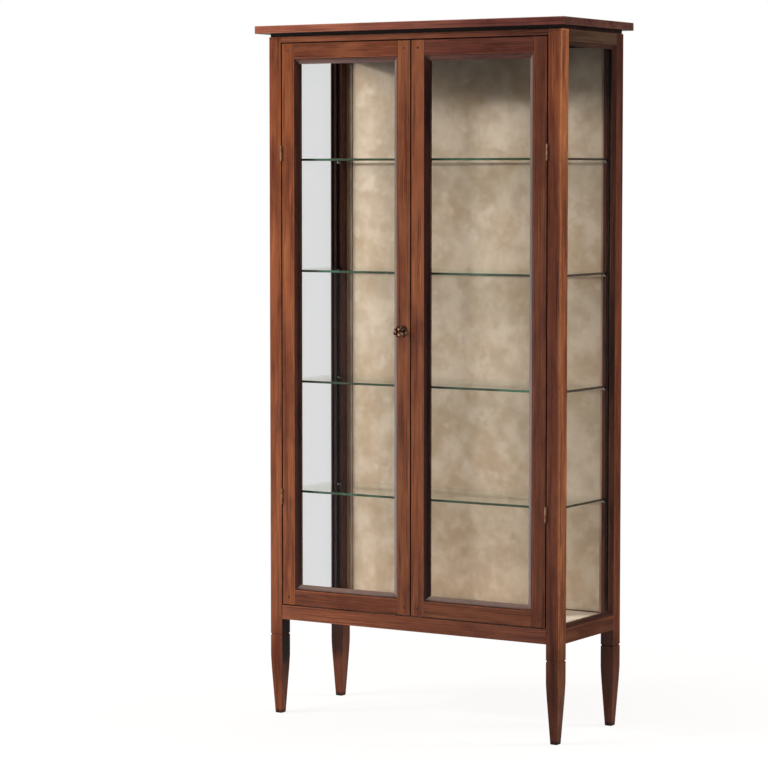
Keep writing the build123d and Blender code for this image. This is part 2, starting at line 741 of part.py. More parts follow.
def lock_bolt():
    """A flat bolt with a notch that the key's bit turns in."""
    x_end = -DOOR_GAP / 2
    x_start = x_end - CASE_WIDE + CASE_WALL + BOLT_PLAY
    with BuildPart() as bolt:
        with Locations(((x_start + x_end) / 2, bolt_front + BOLT_THICK / 2, bolt_low + BOLT_HIGH / 2)):
            Box(x_end - x_start, BOLT_THICK, BOLT_HIGH)
        notch_low = LOCK_HEIGHT - BIT_LONG - NOTCH_PLAY
        notch_high = bolt_low + BOLT_HIGH
        with Locations((-stile_middle, bolt_front + BOLT_THICK / 2, (notch_low + notch_high) / 2)):
            Box(NOTCH_WIDE, BOLT_THICK, notch_high - notch_low, mode=Mode.SUBTRACT)
    save(bolt.part, "lock_bolt")


def escutcheon():
    """A small shaped plate round the keyhole, a long oval with a bud at each end."""
    with BuildPart() as plate:
        with BuildSketch(key_plane):
            bud_z = ESCUTCHEON_HIGH / 2 - ESCUTCHEON_BUD
            Ellipse(ESCUTCHEON_WIDE / 2, bud_z)
            with Locations((0, bud_z), (0, -bud_z)):
                Circle(ESCUTCHEON_BUD)
        extrude(amount=ESCUTCHEON_THICK)
        chamfer(plate.faces().sort_by(Axis.Y)[0].edges(), ESCUTCHEON_THICK / 3)
        add(keyhole(key_plane, ESCUTCHEON_THICK), mode=Mode.SUBTRACT)
    save(plate.part, "escutcheon")


def key():
    """The key: a round shank with a bit, two collars and a flat bow of three pierced lobes."""
    bow_start = front - BOW_STANDOFF
    bow_y = front - bow_middle
    shank_end = door_back + CASE_DEEP - BOLT_PLAY
    with BuildPart() as piece:
        with BuildSketch(Plane((-stile_middle, shank_end, LOCK_HEIGHT), z_dir=(0, -1, 0))):
            Circle(SHANK_RADIUS)
        extrude(amount=shank_end - bow_y)
        for y_low in (bow_start, front - 2 * COLLAR_LONG):
            with BuildSketch(Plane((-stile_middle, y_low, LOCK_HEIGHT), z_dir=(0, 1, 0))):
                Circle(COLLAR_RADIUS)
            extrude(amount=COLLAR_LONG)
            rims = piece.edges().filter_by(GeomType.CIRCLE).filter_by(lambda e: e.radius == COLLAR_RADIUS)
            fillet(rims, COLLAR_LONG / 3)
        with Locations((-stile_middle, bolt_front + BOLT_THICK / 2, LOCK_HEIGHT - BIT_LONG / 2)):
            Box(BIT_THICK, BIT_WIDE, BIT_LONG)
        with BuildSketch(Plane((-stile_middle, bow_y, LOCK_HEIGHT), x_dir=(0, 1, 0), z_dir=(1, 0, 0))):
            with PolarLocations(BOW_RING, BOW_LOBES, start_angle=180):
                Circle(BOW_LOBE)
            with PolarLocations(BOW_RING, BOW_LOBES, start_angle=180):
                Circle(BOW_HOLE, mode=Mode.SUBTRACT)
        extrude(amount=BOW_THICK / 2, both=True)
    save(piece.part, "key")


def inside_bolt_plate():
    """The plate of the inside bolt on the right door, with two guides for the sliding rod."""
    y_face = door_back + SLIDE_PLATE_THICK
    guide = SLIDE_RADIUS + SLIDE_PLAY + GUIDE_WALL
    with BuildPart() as plate:
        with Locations((stile_middle, door_back + SLIDE_PLATE_THICK / 2, (plate_low + plate_high) / 2)):
            Box(SLIDE_PLATE_WIDE, SLIDE_PLATE_THICK, plate_high - plate_low)
        chamfer(plate.edges().filter_by(Axis.Y), SLIDE_PLATE_THICK)
        for z_mid in (guide_low_z, guide_high_z):
            with Locations((stile_middle, (y_face + slide_y) / 2, z_mid)):
                Box(2 * guide, slide_y - y_face, GUIDE_HIGH)
            with Locations((stile_middle, slide_y, z_mid)):
                Cylinder(guide, GUIDE_HIGH)
        with Locations((stile_middle, slide_y, (plate_low + plate_high) / 2)):
            Cylinder(SLIDE_RADIUS + SLIDE_PLAY, plate_high - plate_low, mode=Mode.SUBTRACT)
    save(plate.part, "inside_bolt_plate")


def inside_bolt():
    """The sliding rod of the inside bolt, with a round knob between the guides."""
    with BuildPart() as rod:
        with BuildSketch(Plane.XY.offset(plate_low - SLIDE_CLEAR)):
            with Locations((stile_middle, slide_y)):
                Circle(SLIDE_RADIUS)
        extrude(amount=slide_top - plate_low + SLIDE_CLEAR)
        chamfer(rod.edges().group_by(Axis.Z)[-1], SLIDE_RADIUS / 3)
        knob_z = guide_low_z + GUIDE_HIGH / 2 + KNOB_RADIUS + SLIDE_PLAY
        with BuildSketch(Plane((stile_middle, slide_y, knob_z), z_dir=(0, 1, 0))):
            Circle(KNOB_RADIUS)
        extrude(amount=SLIDE_RADIUS + KNOB_LONG)
        fillet(rod.edges().group_by(Axis.Y)[-1], KNOB_RADIUS / 2)
    save(rod.part, "inside_bolt")


def inside_bolt_keep():
    """An angle under the front top rail. Its upright leaf stands before the raised bolt."""
    y_low = door_back + STOP_PLAY
    y_high = front + FRONT_RAIL_DEPTH - ARRIS
    with BuildPart() as angle:
        with Locations((stile_middle, (y_low + y_high) / 2, stop_top - SLIDE_KEEP_THICK / 2)):
            Box(SLIDE_KEEP_WIDE, y_high - y_low, SLIDE_KEEP_THICK)
        with Locations((stile_middle, y_low + SLIDE_KEEP_THICK / 2, (slide_keep_low + stop_top) / 2)):
            Box(SLIDE_KEEP_WIDE, SLIDE_KEEP_THICK, stop_top - slide_keep_low)
    save(angle.part, "inside_bolt_keep")


# Carcass
top_board()
under_x = (UNDER_SET - half, half - UNDER_SET)
under_y = (front + UNDER_SET, back - UNDER_SET)
block("under_board", under_x, under_y, (frame_top, HEIGHT - TOP_THICK))
for corner, (side, face) in corners.items():
    post(corner, side, face)
cross_rail("front_bottom_rail", 1, LEG_HEIGHT, floor_top)
cross_rail("front_top_rail", 1, stop_top, frame_top)
cross_rail("rear_bottom_rail", -1, LEG_HEIGHT, floor_top, (groove_low, floor_top))
cross_rail("rear_top_rail", -1, rear_top, frame_top, (rear_top, groove_high))
for side_name, side in (("left", -1), ("right", 1)):
    side_rail(f"{side_name}_bottom_rail", side, LEG_HEIGHT, floor_top)
    side_rail(f"{side_name}_top_rail", side, side_top, frame_top)
    side_frame(side_name, side)

# Floor and back
board_top = floor_top - FLOOR_LINING
floor_plate("floor_board", board_top - FLOOR_THICK, board_top)
floor_plate("floor_lining", board_top, floor_top)
floor_cleats()
panel_x = inner + PANEL_GROOVE - PANEL_PLAY
panel_z = (groove_low + PANEL_PLAY, groove_high - PANEL_PLAY)
block("back_panel", (-panel_x, panel_x), (panel_front, panel_front + PANEL_THICK), panel_z)
lining_x = inner - BATTEN_WIDE
lining_z = (floor_top, rear_top)
block("back_lining", (-lining_x, lining_x), (panel_front - BACK_LINING, panel_front), lining_z)
back_battens()

# Shelves
shelf_y = (front + POST + SHELF_POST_PLAY, back - POST - SHELF_POST_PLAY)
for count, low in enumerate(shelf_bottoms, 1):
    block(f"shelf_{count}", (-shelf_end, shelf_end), shelf_y, (low, low + SHELF_THICK), SHELF_EASE)
shelf_pins()

# Hinges and stops on the carcass
hinge_leaves("post_hinge_leaves", (-1, 1), (inner, inner + LEAF_THICK), False)
hinge_pins()
door_stop()
inside_bolt_keep()

# Doors, lock, key and inside bolt
door("left", -1)
door("right", 1)
lock_case()
lock_bolt()
escutcheon()
key()
block("lock_keep", keep_x, (door_back, door_back + KEEP_THICK), keep_z)
inside_bolt_plate()
inside_bolt()
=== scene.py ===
from math import radians

import bmesh
import bpy
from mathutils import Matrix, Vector


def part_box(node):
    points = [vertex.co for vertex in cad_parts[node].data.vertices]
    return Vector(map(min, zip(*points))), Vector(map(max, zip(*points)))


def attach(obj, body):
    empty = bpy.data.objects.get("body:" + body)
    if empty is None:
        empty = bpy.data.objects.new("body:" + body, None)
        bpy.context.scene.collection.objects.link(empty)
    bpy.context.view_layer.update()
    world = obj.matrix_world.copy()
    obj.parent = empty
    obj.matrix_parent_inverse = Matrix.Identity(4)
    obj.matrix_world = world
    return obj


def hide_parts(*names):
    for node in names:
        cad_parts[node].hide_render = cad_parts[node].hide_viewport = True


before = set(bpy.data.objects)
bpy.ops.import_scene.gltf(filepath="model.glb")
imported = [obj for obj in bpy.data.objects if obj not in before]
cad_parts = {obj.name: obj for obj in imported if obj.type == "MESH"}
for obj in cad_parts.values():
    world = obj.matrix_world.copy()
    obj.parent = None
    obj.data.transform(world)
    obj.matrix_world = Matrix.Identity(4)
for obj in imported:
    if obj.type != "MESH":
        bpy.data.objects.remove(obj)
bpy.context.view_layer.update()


# Posts and legs
# Four square posts of stained and waxed walnut. Each is turned into a leg below the frame by a
# groove cut round it and a taper on all four faces. The rails are tenoned into them.
def put(tree, kind, sockets=None, **settings):
    """Adds a node, makes its settings, and fills its sockets with values or joins."""
    made = tree.nodes.new(kind)
    for name, value in settings.items():
        setattr(made, name, value)
    for key, value in (sockets or {}).items():
        if isinstance(value, bpy.types.NodeSocket):
            tree.links.new(value, made.inputs[key])
        else:
            made.inputs[key].default_value = value
    return made


def figure(tree, operation, first, second=0.0, third=0.0):
    """One step of arithmetic on values that change over the surface."""
    sockets = {0: first, 1: second, 2: third}
    return put(tree, "ShaderNodeMath", sockets, operation=operation).outputs[0]


def shift(tree, operation, first, second, third=(0.0, 0.0, 0.0)):
    """One step of arithmetic on places."""
    sockets = {0: first, 1: second, 2: third}
    return put(tree, "ShaderNodeVectorMath", sockets, operation=operation).outputs[0]


def soft_step(tree, value, low, high, start=0.0, end=1.0):
    """A value eased from start to end while another one goes from low to high."""
    sockets = {"Value": value, "From Min": low, "From Max": high, "To Min": start, "To Max": end}
    step = put(tree, "ShaderNodeMapRange", sockets, interpolation_type="SMOOTHSTEP")
    return step.outputs["Result"]


def cloud(tree, place, per_metre, detail=2.0, rough=0.5):
    """Uneven marks, with their number to the metre along each axis."""
    sockets = {"Vector": shift(tree, "MULTIPLY", place, per_metre), "Scale": 1.0}
    return put(tree, "ShaderNodeTexNoise", {**sockets, "Detail": detail, "Roughness": rough})


def tinted(tree, amount, first, second, way="MIX"):
    """Two colours brought together by an amount."""
    sockets = {0: amount, 6: first, 7: second}
    return put(tree, "ShaderNodeMix", sockets, data_type="RGBA", blend_type=way).outputs[2]


def parts_of(tree, vector):
    """The three numbers of a place."""
    return put(tree, "ShaderNodeSeparateXYZ", {0: vector}).outputs


def inset_in(tree, place, middle, reach):
    """How deep a place lies inside a box, along each axis."""
    away = shift(tree, "ABSOLUTE", shift(tree, "SUBTRACT", place, middle), (0.0, 0.0, 0.0))
    return shift(tree, "SUBTRACT", reach, away)


def finish_named(name):
    """A new material with an empty tree, its output, and the place of each point of the piece."""
    made = bpy.data.materials.new(name)
    made.use_nodes = True
    tree = made.node_tree
    tree.nodes.clear()
    out = put(tree, "ShaderNodeOutputMaterial")
    place = put(tree, "ShaderNodeTexCoord").outputs["Object"]
    return made, tree, out, place


def name_sockets(tree, takes, gives):
    """Names what a shared pattern takes and gives."""
    for way, sockets in (("INPUT", takes), ("OUTPUT", gives)):
        for name, kind in sockets:
            tree.interface.new_socket(name, in_out=way, socket_type="NodeSocket" + kind)


# Marks to the metre, across the grain twice and then along it
BOARD_WAVES = (10.0, 10.0, 1.9)
RING_WAVES = (60.0, 60.0, 4.0)
FIBRES = (620.0, 620.0, 9.0)
PORES = (1500.0, 1500.0, 34.0)
DARK_STREAKS = (95.0, 95.0, 3.4)
LIGHT_STREAKS = (130.0, 130.0, 6.0)
SLOW_TONES = (16.0, 16.0, 3.6)
BROAD_TONES = (13.0, 13.0, 5.0)
ARRIS_WEAR_AND_HIGHLIGHT_PATCHES = (55.0, 55.0, 55.0)
RINGS_PER_METRE = 170.0
WAVE_BEND = (0.034, 0.034, 0.0)
RUDDY = (0.50, 0.40, 0.48, 1.0)
# Lightening along the arrises: partly wear, partly painted highlight
ARRIS_WEAR_AND_HIGHLIGHT_REACH = (0.0022, 0.0050)
ARRIS_WEAR_AND_HIGHLIGHT_AMOUNT = 0.75


def walnut_pattern():
    """The stained walnut's figure, with its grain along Z: colour, roughness and height."""
    tree = bpy.data.node_groups.new("walnut_pattern", "ShaderNodeTree")
    places = [(name, "Vector") for name in ("Grain", "Place", "Middle", "Reach")]
    stains = [(name, "Color") for name in ("Dark", "Body", "Light")]
    gives = (("Colour", "Color"), ("Roughness", "Float"), ("Height", "Float"))
    name_sockets(tree, places + stains, gives)
    given = put(tree, "NodeGroupInput").outputs
    grain = given["Grain"]

    # Growth rings, bent by slow waves along the board
    wave = cloud(tree, grain, BOARD_WAVES, 3.0).outputs["Color"]
    centred = shift(tree, "SUBTRACT", wave, (0.5, 0.5, 0.5))
    bent = shift(tree, "MULTIPLY_ADD", centred, WAVE_BEND, grain)
    flat = shift(tree, "MULTIPLY", bent, (1.0, 1.0, 0.0))
    pith = put(tree, "ShaderNodeVectorMath", {0: flat}, operation="LENGTH").outputs["Value"]
    uneven = figure(tree, "MULTIPLY", cloud(tree, grain, RING_WAVES, 2.0).outputs[0], 1.6)
    counted = figure(tree, "MULTIPLY_ADD", pith, RINGS_PER_METRE, uneven)
    ring = soft_step(tree, figure(tree, "FRACT", counted), 0.25, 1.0)

    # Fibres, pores, dark streaks, light streaks and slow changes of tone
    fibres = cloud(tree, grain, FIBRES, 3.0, 0.6).outputs[0]
    pores = soft_step(tree, cloud(tree, grain, PORES, 1.0).outputs[0], 0.60, 0.70)
    streaks = soft_step(tree, cloud(tree, grain, DARK_STREAKS, 4.0, 0.62).outputs[0], 0.46, 0.70)
    pale = soft_step(tree, cloud(tree, grain, LIGHT_STREAKS, 3.0, 0.6).outputs[0], 0.52, 0.72)
    slow = soft_step(tree, cloud(tree, grain, SLOW_TONES, 3.0, 0.6).outputs[0], 0.36, 0.64)
    broad = soft_step(tree, cloud(tree, grain, BROAD_TONES, 3.0, 0.65).outputs[0], 0.42, 0.66)

    # The stain, from its body to light wood, dark rings and streaks, pores and ruddy clouds
    amount = figure(tree, "MULTIPLY_ADD", fibres, 0.40, figure(tree, "MULTIPLY", slow, 0.46))
    amount = figure(tree, "MULTIPLY_ADD", pale, 0.46, figure(tree, "SUBTRACT", amount, 0.04))
    colour = tinted(tree, amount, given["Body"], given["Light"])
    shade = figure(tree, "MULTIPLY_ADD", ring, 0.28, figure(tree, "MULTIPLY", streaks, 0.55))
    colour = tinted(tree, shade, colour, given["Dark"])
    colour = tinted(tree, figure(tree, "MULTIPLY", pores, 0.35), colour, given["Dark"])
    colour = tinted(tree, figure(tree, "MULTIPLY", broad, 0.62), colour, RUDDY, "MULTIPLY")

    # The stain is lightened along the arrises, which lie close to two faces at once: partly wear where it
    # is rubbed thin, partly painted highlight
    inset = parts_of(tree, inset_in(tree, given["Place"], given["Middle"], given["Reach"]))
    least = figure(tree, "MINIMUM", inset[0], figure(tree, "MINIMUM", inset[1], inset[2]))
    most = figure(tree, "MAXIMUM", inset[0], figure(tree, "MAXIMUM", inset[1], inset[2]))
    total = figure(tree, "ADD", inset[0], figure(tree, "ADD", inset[1], inset[2]))
    second = figure(tree, "SUBTRACT", figure(tree, "SUBTRACT", total, least), most)
    arris_patches = cloud(tree, given["Place"], ARRIS_WEAR_AND_HIGHLIGHT_PATCHES, 3.0, 0.6).outputs[0]
    near_arris = figure(tree, "MULTIPLY_ADD", arris_patches, 0.004, second)
    wear_and_highlight = soft_step(tree, near_arris, *ARRIS_WEAR_AND_HIGHLIGHT_REACH, ARRIS_WEAR_AND_HIGHLIGHT_AMOUNT, 0.0)
    colour = tinted(tree, wear_and_highlight, colour, given["Light"])

    rough = figure(tree, "MULTIPLY_ADD", fibres, 0.12, figure(tree, "MULTIPLY_ADD", pores, 0.2, 0.21))
    rough = figure(tree, "MULTIPLY_ADD", slow, 0.07, rough)
    height = figure(tree, "MULTIPLY_ADD", fibres, 0.35, figure(tree, "MULTIPLY", ring, -0.25))
    height = figure(tree, "MULTIPLY_ADD", pores, -0.8, height)
    put(tree, "NodeGroupOutput", {"Colour": colour, "Roughness": rough, "Height": height})
    return tree


walnut_figure = walnut_pattern()
GRAIN_TURN = {"X": (0.0, radians(90.0), 0.0), "Y": (radians(90.0), 0.0, 0.0), "Z": (0.0, 0.0, 0.0)}
MITRE_LINE = 0.0006
MITRE_DARK = 0.7
WALNUT_GLOSS = 0.30
WAX_ROUGHNESS = 0.14
PORE_DEPTH = 0.0003


def stained_walnut(name, box, along, board, stain, tones=(), mitred=False, wax=0.12):
    """Walnut for one piece. along is the axis of its length, and board picks its own figure.
    Each tone is an axis, a place where it starts, a place where it is full, and its colour.
    The bars of a mitred frame stand, or lie along the given axis. wax is the share of gloss."""
    made, tree, out, place = finish_named(name)
    low, high = box
    middle = (low + high) / 2
    reach = (high - low) / 2
    cut = (0.045 + 0.037 * (board % 5), 0.03 + 0.023 * (board % 7), 1.37 * board)
    turned = {"Vector": place, "Rotation": GRAIN_TURN[along], "Location": cut}
    grain = put(tree, "ShaderNodeMapping", turned).outputs[0]
    if mitred:
        upright = {"Vector": place, "Rotation": GRAIN_TURN["Z"], "Location": cut}
        inset = parts_of(tree, inset_in(tree, place, middle, reach))
        apart = figure(tree, "SUBTRACT", inset["XY".index(along)], inset[2])
        lying = figure(tree, "GREATER_THAN", apart, 0.0)
        both = {0: lying, 4: put(tree, "ShaderNodeMapping", upright).outputs[0], 5: grain}
        grain = put(tree, "ShaderNodeMix", both, data_type="VECTOR").outputs[1]
    given = {"Grain": grain, "Place": place, "Middle": middle, "Reach": reach}
    for key, value in zip(("Dark", "Body", "Light"), stain):
        given[key] = (*value, 1.0)
    used = put(tree, "ShaderNodeGroup", given, node_tree=walnut_figure)
    colour = used.outputs["Colour"]
    spot = parts_of(tree, place)
    for axis, start, full, tone in tones:
        amount = soft_step(tree, spot["XYZ".index(axis)], start, full)
        colour = tinted(tree, amount, colour, (*tone, 1.0), "MULTIPLY")
    if mitred:
        line = figure(tree, "LESS_THAN", figure(tree, "ABSOLUTE", apart), MITRE_LINE)
        colour = tinted(tree, figure(tree, "MULTIPLY", line, MITRE_DARK), colour, (*stain[0], 1.0))
    bump = {"Height": used.outputs["Height"], "Strength": 0.35, "Distance": PORE_DEPTH}
    polish = {
        "Base Color": colour,
        "Roughness": used.outputs["Roughness"],
        "Normal": put(tree, "ShaderNodeBump", bump).outputs[0],
        "Specular IOR Level": WALNUT_GLOSS,
        "Coat Weight": wax,
        "Coat Roughness": WAX_ROUGHNESS,
    }
    tree.links.new(put(tree, "ShaderNodeBsdfPrincipled", polish).outputs[0], out.inputs[0])
    return made


JOIN_WITHIN = 0.00001
SHARP_BEND = radians(32.0)


def soft_shading():
    """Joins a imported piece's loose triangles and shades its curves smoothly."""
    tree = bpy.data.node_groups.new("soft_shading", "GeometryNodeTree")
    name_sockets(tree, (("Geometry", "Geometry"),), (("Geometry", "Geometry"),))
    given = put(tree, "NodeGroupInput").outputs[0]
    merge = {"Geometry": given, "Distance": JOIN_WITHIN}
    joined = put(tree, "GeometryNodeMergeByDistance", merge).outputs[0]
    strip = {"Geometry": joined, "Name": "custom_normal"}
    plain = put(tree, "GeometryNodeRemoveAttribute", strip).outputs[0]
    faces = {"Geometry": plain, "Shade Smooth": True}
    smooth = put(tree, "GeometryNodeSetShadeSmooth", faces).outputs[0]
    bend = {0: put(tree, "GeometryNodeInputMeshEdgeAngle").outputs[0], 1: SHARP_BEND}
    sharp = put(tree, "FunctionNodeCompare", bend, operation="GREATER_THAN").outputs[0]
    edges = {"Geometry": smooth, "Selection": sharp, "Shade Smooth": False}
    crisp = put(tree, "GeometryNodeSetShadeSmooth", edges, domain="EDGE").outputs[0]
    put(tree, "NodeGroupOutput", {0: crisp})
    return tree


shading_tree = soft_shading()


def dress(node, finish):
    """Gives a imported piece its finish, and smooth shading on its curves."""
    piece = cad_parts[node]
    if not piece.material_slots:
        piece.data.materials.append(finish)
    for held in piece.material_slots:
        held.material = finish
    piece.modifiers.new("shading", "NODES").node_group = shading_tree


# Stains are dark, body and light. A tone darkens or lights one end or face of a piece
LEFT_POST = ((0.037, 0.007, 0.005), (0.144, 0.035, 0.012), (0.307, 0.098, 0.035))
RIGHT_POST = ((0.022, 0.005, 0.004), (0.082, 0.020, 0.009), (0.197, 0.061, 0.025))
REAR_POST = ((0.029, 0.008, 0.005), (0.102, 0.027, 0.014), (0.204, 0.064, 0.029))
# Painted shade: a dark line where the doors shut, standing in for the shade in the gaps
GAP_SHADE = (0.16, 0.10, 0.10)
GAP_SHADE_WIDTH = 0.0018
LEG_TONE_FROM = 0.02
LEG_TONE_TO = 0.04
LIGHTER_RIGHT_EDGE = (1.9, 2.3, 2.2)
LIGHT_TOP = (1.45, 1.45, 1.35)
DARK_TOP = (0.50, 0.52, 0.75)
REAR_FACE_PAINTED_SHADE = (0.30, 0.30, 0.35)
left_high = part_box("post_front_left")[1]
right_low, right_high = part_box("post_front_right")
rear_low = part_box("post_rear_left")[0]
leg_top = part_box("front_bottom_rail")[0].z
leg_span = (leg_top + LEG_TONE_FROM, leg_top - LEG_TONE_TO)
foot = ("Z", 0.014, 0.004, (0.25, 0.25, 0.30))
left_leg = ("Z", *leg_span, (0.96, 0.90, 0.85))
right_leg = ("Z", *leg_span, (0.62, 0.60, 0.60))
# The front posts get a painted shade line along their inner edges, where the doors shut
left_tones = (foot, left_leg, ("X", left_high.x - GAP_SHADE_WIDTH, left_high.x - GAP_SHADE_WIDTH / 3, GAP_SHADE))
right_tones = (
    foot,
    right_leg,
    # The right post is lighter on its right-hand face and along that arris
    ("X", right_high.x - 0.010, right_high.x - 0.001, LIGHTER_RIGHT_EDGE),
    ("Z", 1.45, 1.62, LIGHT_TOP),
    ("X", right_low.x + GAP_SHADE_WIDTH, right_low.x + GAP_SHADE_WIDTH / 3, GAP_SHADE),
)
# The rear left post's front face, seen past the left door, gets painted shade
rear_left_tones = (foot, left_leg, ("Y", rear_low.y + 0.004, rear_low.y + 0.001, REAR_FACE_PAINTED_SHADE))
rear_right_tones = (foot, right_leg, ("Z", 1.25, 1.65, DARK_TOP))
for node, stain, board, tones in (
    ("post_front_left", LEFT_POST, 1, left_tones),
    ("post_front_right", RIGHT_POST, 2, right_tones),
    ("post_rear_left", REAR_POST, 3, rear_left_tones),
    ("post_rear_right", REAR_POST, 4, rear_right_tones),
):
    dress(node, stained_walnut(node + "_walnut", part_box(node), "Z", board, stain, tones))


# Rails
# Eight walnut rails tenoned between the posts: front, rear and side, above and below. The front
# ones get painted shade that darkens them to the right, and a painted shade line where the doors shut
# against them.
FRONT_RAIL = ((0.038, 0.009, 0.006), (0.165, 0.046, 0.020), (0.320, 0.110, 0.050))
SIDE_RAIL = ((0.024, 0.007, 0.004), (0.073, 0.023, 0.011), (0.140, 0.048, 0.022))
SIDE_TOP_RAIL = ((0.022, 0.010, 0.006), (0.055, 0.030, 0.017), (0.110, 0.062, 0.038))
DOOR_GAP = 0.002
gap_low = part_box("front_bottom_rail")[1].z
gap_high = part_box("left_door_top_rail")[1].z + DOOR_GAP
# Painted shade: darker to the right, for the light's fall-off from the left
painted_falloff_right = ("X", -0.30, 0.38, (0.50, 0.49, 0.60))
bottom_tones = (painted_falloff_right, ("Z", gap_low - GAP_SHADE_WIDTH, gap_low, GAP_SHADE))
top_tones = (painted_falloff_right, ("Z", gap_high + GAP_SHADE_WIDTH, gap_high, GAP_SHADE))
for node, stain, along, board, tones in (
    ("front_bottom_rail", FRONT_RAIL, "X", 5, bottom_tones),
    ("front_top_rail", FRONT_RAIL, "X", 6, top_tones),
    ("rear_bottom_rail", SIDE_RAIL, "X", 7, ()),
    ("rear_top_rail", SIDE_RAIL, "X", 8, ()),
    ("left_bottom_rail", SIDE_RAIL, "Y", 9, ()),
    ("left_top_rail", SIDE_TOP_RAIL, "Y", 10, ()),
    ("right_bottom_rail", SIDE_RAIL, "Y", 11, ()),
    ("right_top_rail", SIDE_TOP_RAIL, "Y", 12, ()),
):
    dress(node, stained_walnut(node + "_walnut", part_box(node), along, board, stain, tones))


# Floor
# A plywood floor on four cleats inside the bottom rails, covered with the same pale velvet as
# the back, cut round the posts and glued down.
PLY = ((0.060, 0.030, 0.016), (0.180, 0.100, 0.055), (0.290, 0.180, 0.105))
dress("floor_board", stained_walnut("floor_board_ply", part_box("floor_board"), "X", 13, PLY))
dress("floor_cleats", stained_walnut("floor_cleats_walnut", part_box("floor_cleats"), "X", 14, SIDE_RAIL))

# Marks to the metre, and how much lighter or darker each one turns the cloth
BRUSHED_PATCHES = (13.0, 13.0, 13.0)
TOUCH_MARKS = (30.0, 30.0, 26.0)
PRESSED_MARKS = (17.0, 17.0, 17.0)
TANNED_CLOUDS = (7.0, 7.0, 7.0)
PILE = (1400.0, 1400.0, 1400.0)
TANNED = (0.86, 0.78, 0.66)
PRESSED = (1.10, 1.13, 1.18)
BETWEEN_HAIRS = (0.6, 0.6, 0.6)
NAP_DEPTH = 0.0008


def shade_of(colour, change):
    """A colour made lighter or darker part by part, and no brighter than white."""
    return (*(min(1.0, part * much) for part, much in zip(colour, change)), 1.0)


def pale_velvet(name, pale, brushed, moved):
    """Cotton velvet whose short pile lies in brushed patches, with marks where it was touched."""
    made, tree, out, spot = finish_named(name)
    place = put(tree, "ShaderNodeMapping", {"Vector": spot, "Location": moved}).outputs[0]
    patches = cloud(tree, place, BRUSHED_PATCHES, 4.0, 0.60).outputs[0]
    touched = cloud(tree, place, TOUCH_MARKS, 3.0, 0.50).outputs[0]
    pressed = soft_step(tree, cloud(tree, place, PRESSED_MARKS, 2.0, 0.5).outputs[0], 0.56, 0.74)
    tanned = soft_step(tree, cloud(tree, place, TANNED_CLOUDS, 4.0, 0.6).outputs[0], 0.46, 0.66)
    pile = cloud(tree, place, PILE, 1.0).outputs[0]
    lie = figure(tree, "MULTIPLY_ADD", touched, 0.40, figure(tree, "MULTIPLY", patches, 0.75))
    colour = tinted(tree, soft_step(tree, lie, 0.44, 0.70), (*brushed, 1.0), (*pale, 1.0))
    tan_amount = figure(tree, "MULTIPLY", tanned, 0.60)
    colour = tinted(tree, tan_amount, colour, shade_of(brushed, TANNED))
    press_amount = figure(tree, "MULTIPLY", pressed, 0.70)
    colour = tinted(tree, press_amount, colour, shade_of(pale, PRESSED))
    nap = soft_step(tree, pile, 0.3, 0.7, 0.0, 0.20)
    colour = tinted(tree, nap, colour, shade_of(brushed, BETWEEN_HAIRS))
    height = figure(tree, "MULTIPLY_ADD", pile, 0.5, lie)
    bump = {"Height": height, "Strength": 0.4, "Distance": NAP_DEPTH}
    nappy = {
        "Base Color": colour,
        "Roughness": soft_step(tree, lie, 0.4, 0.8, 0.92, 0.8),
        "Normal": put(tree, "ShaderNodeBump", bump).outputs[0],
        "Specular IOR Level": 0.2,
        "Sheen Weight": 0.25,
        "Sheen Roughness": 0.45,
        "Sheen Tint": (0.95, 0.90, 0.80, 1.0),
    }
    tree.links.new(put(tree, "ShaderNodeBsdfPrincipled", nappy).outputs[0], out.inputs[0])
    return made


EDGE_ROLL = 0.55
EDGE_STEPS = 3


def cloth_pad(name, outline, thick, place, finish):
    """A cloth over a board: its edge rolls down. outline is the cut in two directions, and
    place turns them and a height into the case's frame."""
    form = bmesh.new()
    rim = [form.verts.new((x, y, 0.0)) for x, y in outline]
    form.faces.new(rim)
    risen = bmesh.ops.extrude_face_region(form, geom=form.faces[:])
    for part in risen["geom"]:
        if isinstance(part, bmesh.types.BMVert):
            part.co.z = thick
    upper = [edge for edge in form.edges if min(v.co.z for v in edge.verts) > thick / 2]
    roll = thick * EDGE_ROLL
    bmesh.ops.bevel(form, geom=upper, offset=roll, segments=EDGE_STEPS, profile=0.5, affect="EDGES")
    for v in form.verts:
        v.co = place(v.co)
    bmesh.ops.recalc_face_normals(form, faces=form.faces)
    bmesh.ops.triangulate(form, faces=form.faces)
    mesh = bpy.data.meshes.new(name)
    form.to_mesh(mesh)
    form.free()
    mesh.materials.append(finish)
    made = bpy.data.objects.new(name, mesh)
    bpy.context.scene.collection.objects.link(made)
    made.modifiers.new("shading", "NODES").node_group = shading_tree
    return made


floor_low, floor_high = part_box("floor_lining")
NOTCH_PLAY = 0.0003
notch_x = right_low.x - NOTCH_PLAY
notch_front = left_high.y + NOTCH_PLAY
notch_rear = rear_low.y - NOTCH_PLAY
floor_cut = []
for end, x_end in ((1, floor_high.x), (-1, floor_low.x)):
    corner = [(end * notch_x, floor_low.y), (end * notch_x, notch_front), (x_end, notch_front)]
    corner += [(x_end, notch_rear), (end * notch_x, notch_rear), (end * notch_x, floor_high.y)]
    floor_cut += corner if end > 0 else corner[::-1]
floor_velvet = cloth_pad(
    "floor_velvet",
    floor_cut,
    floor_high.z - floor_low.z,
    lambda co: Vector((co.x, co.y, floor_low.z + co.z)),
    pale_velvet("floor_velvet", (0.80, 0.69, 0.57), (0.67, 0.56, 0.44), (3.1, 1.7, 0.4)),
)
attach(floor_velvet, "cabinet")
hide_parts("floor_lining")


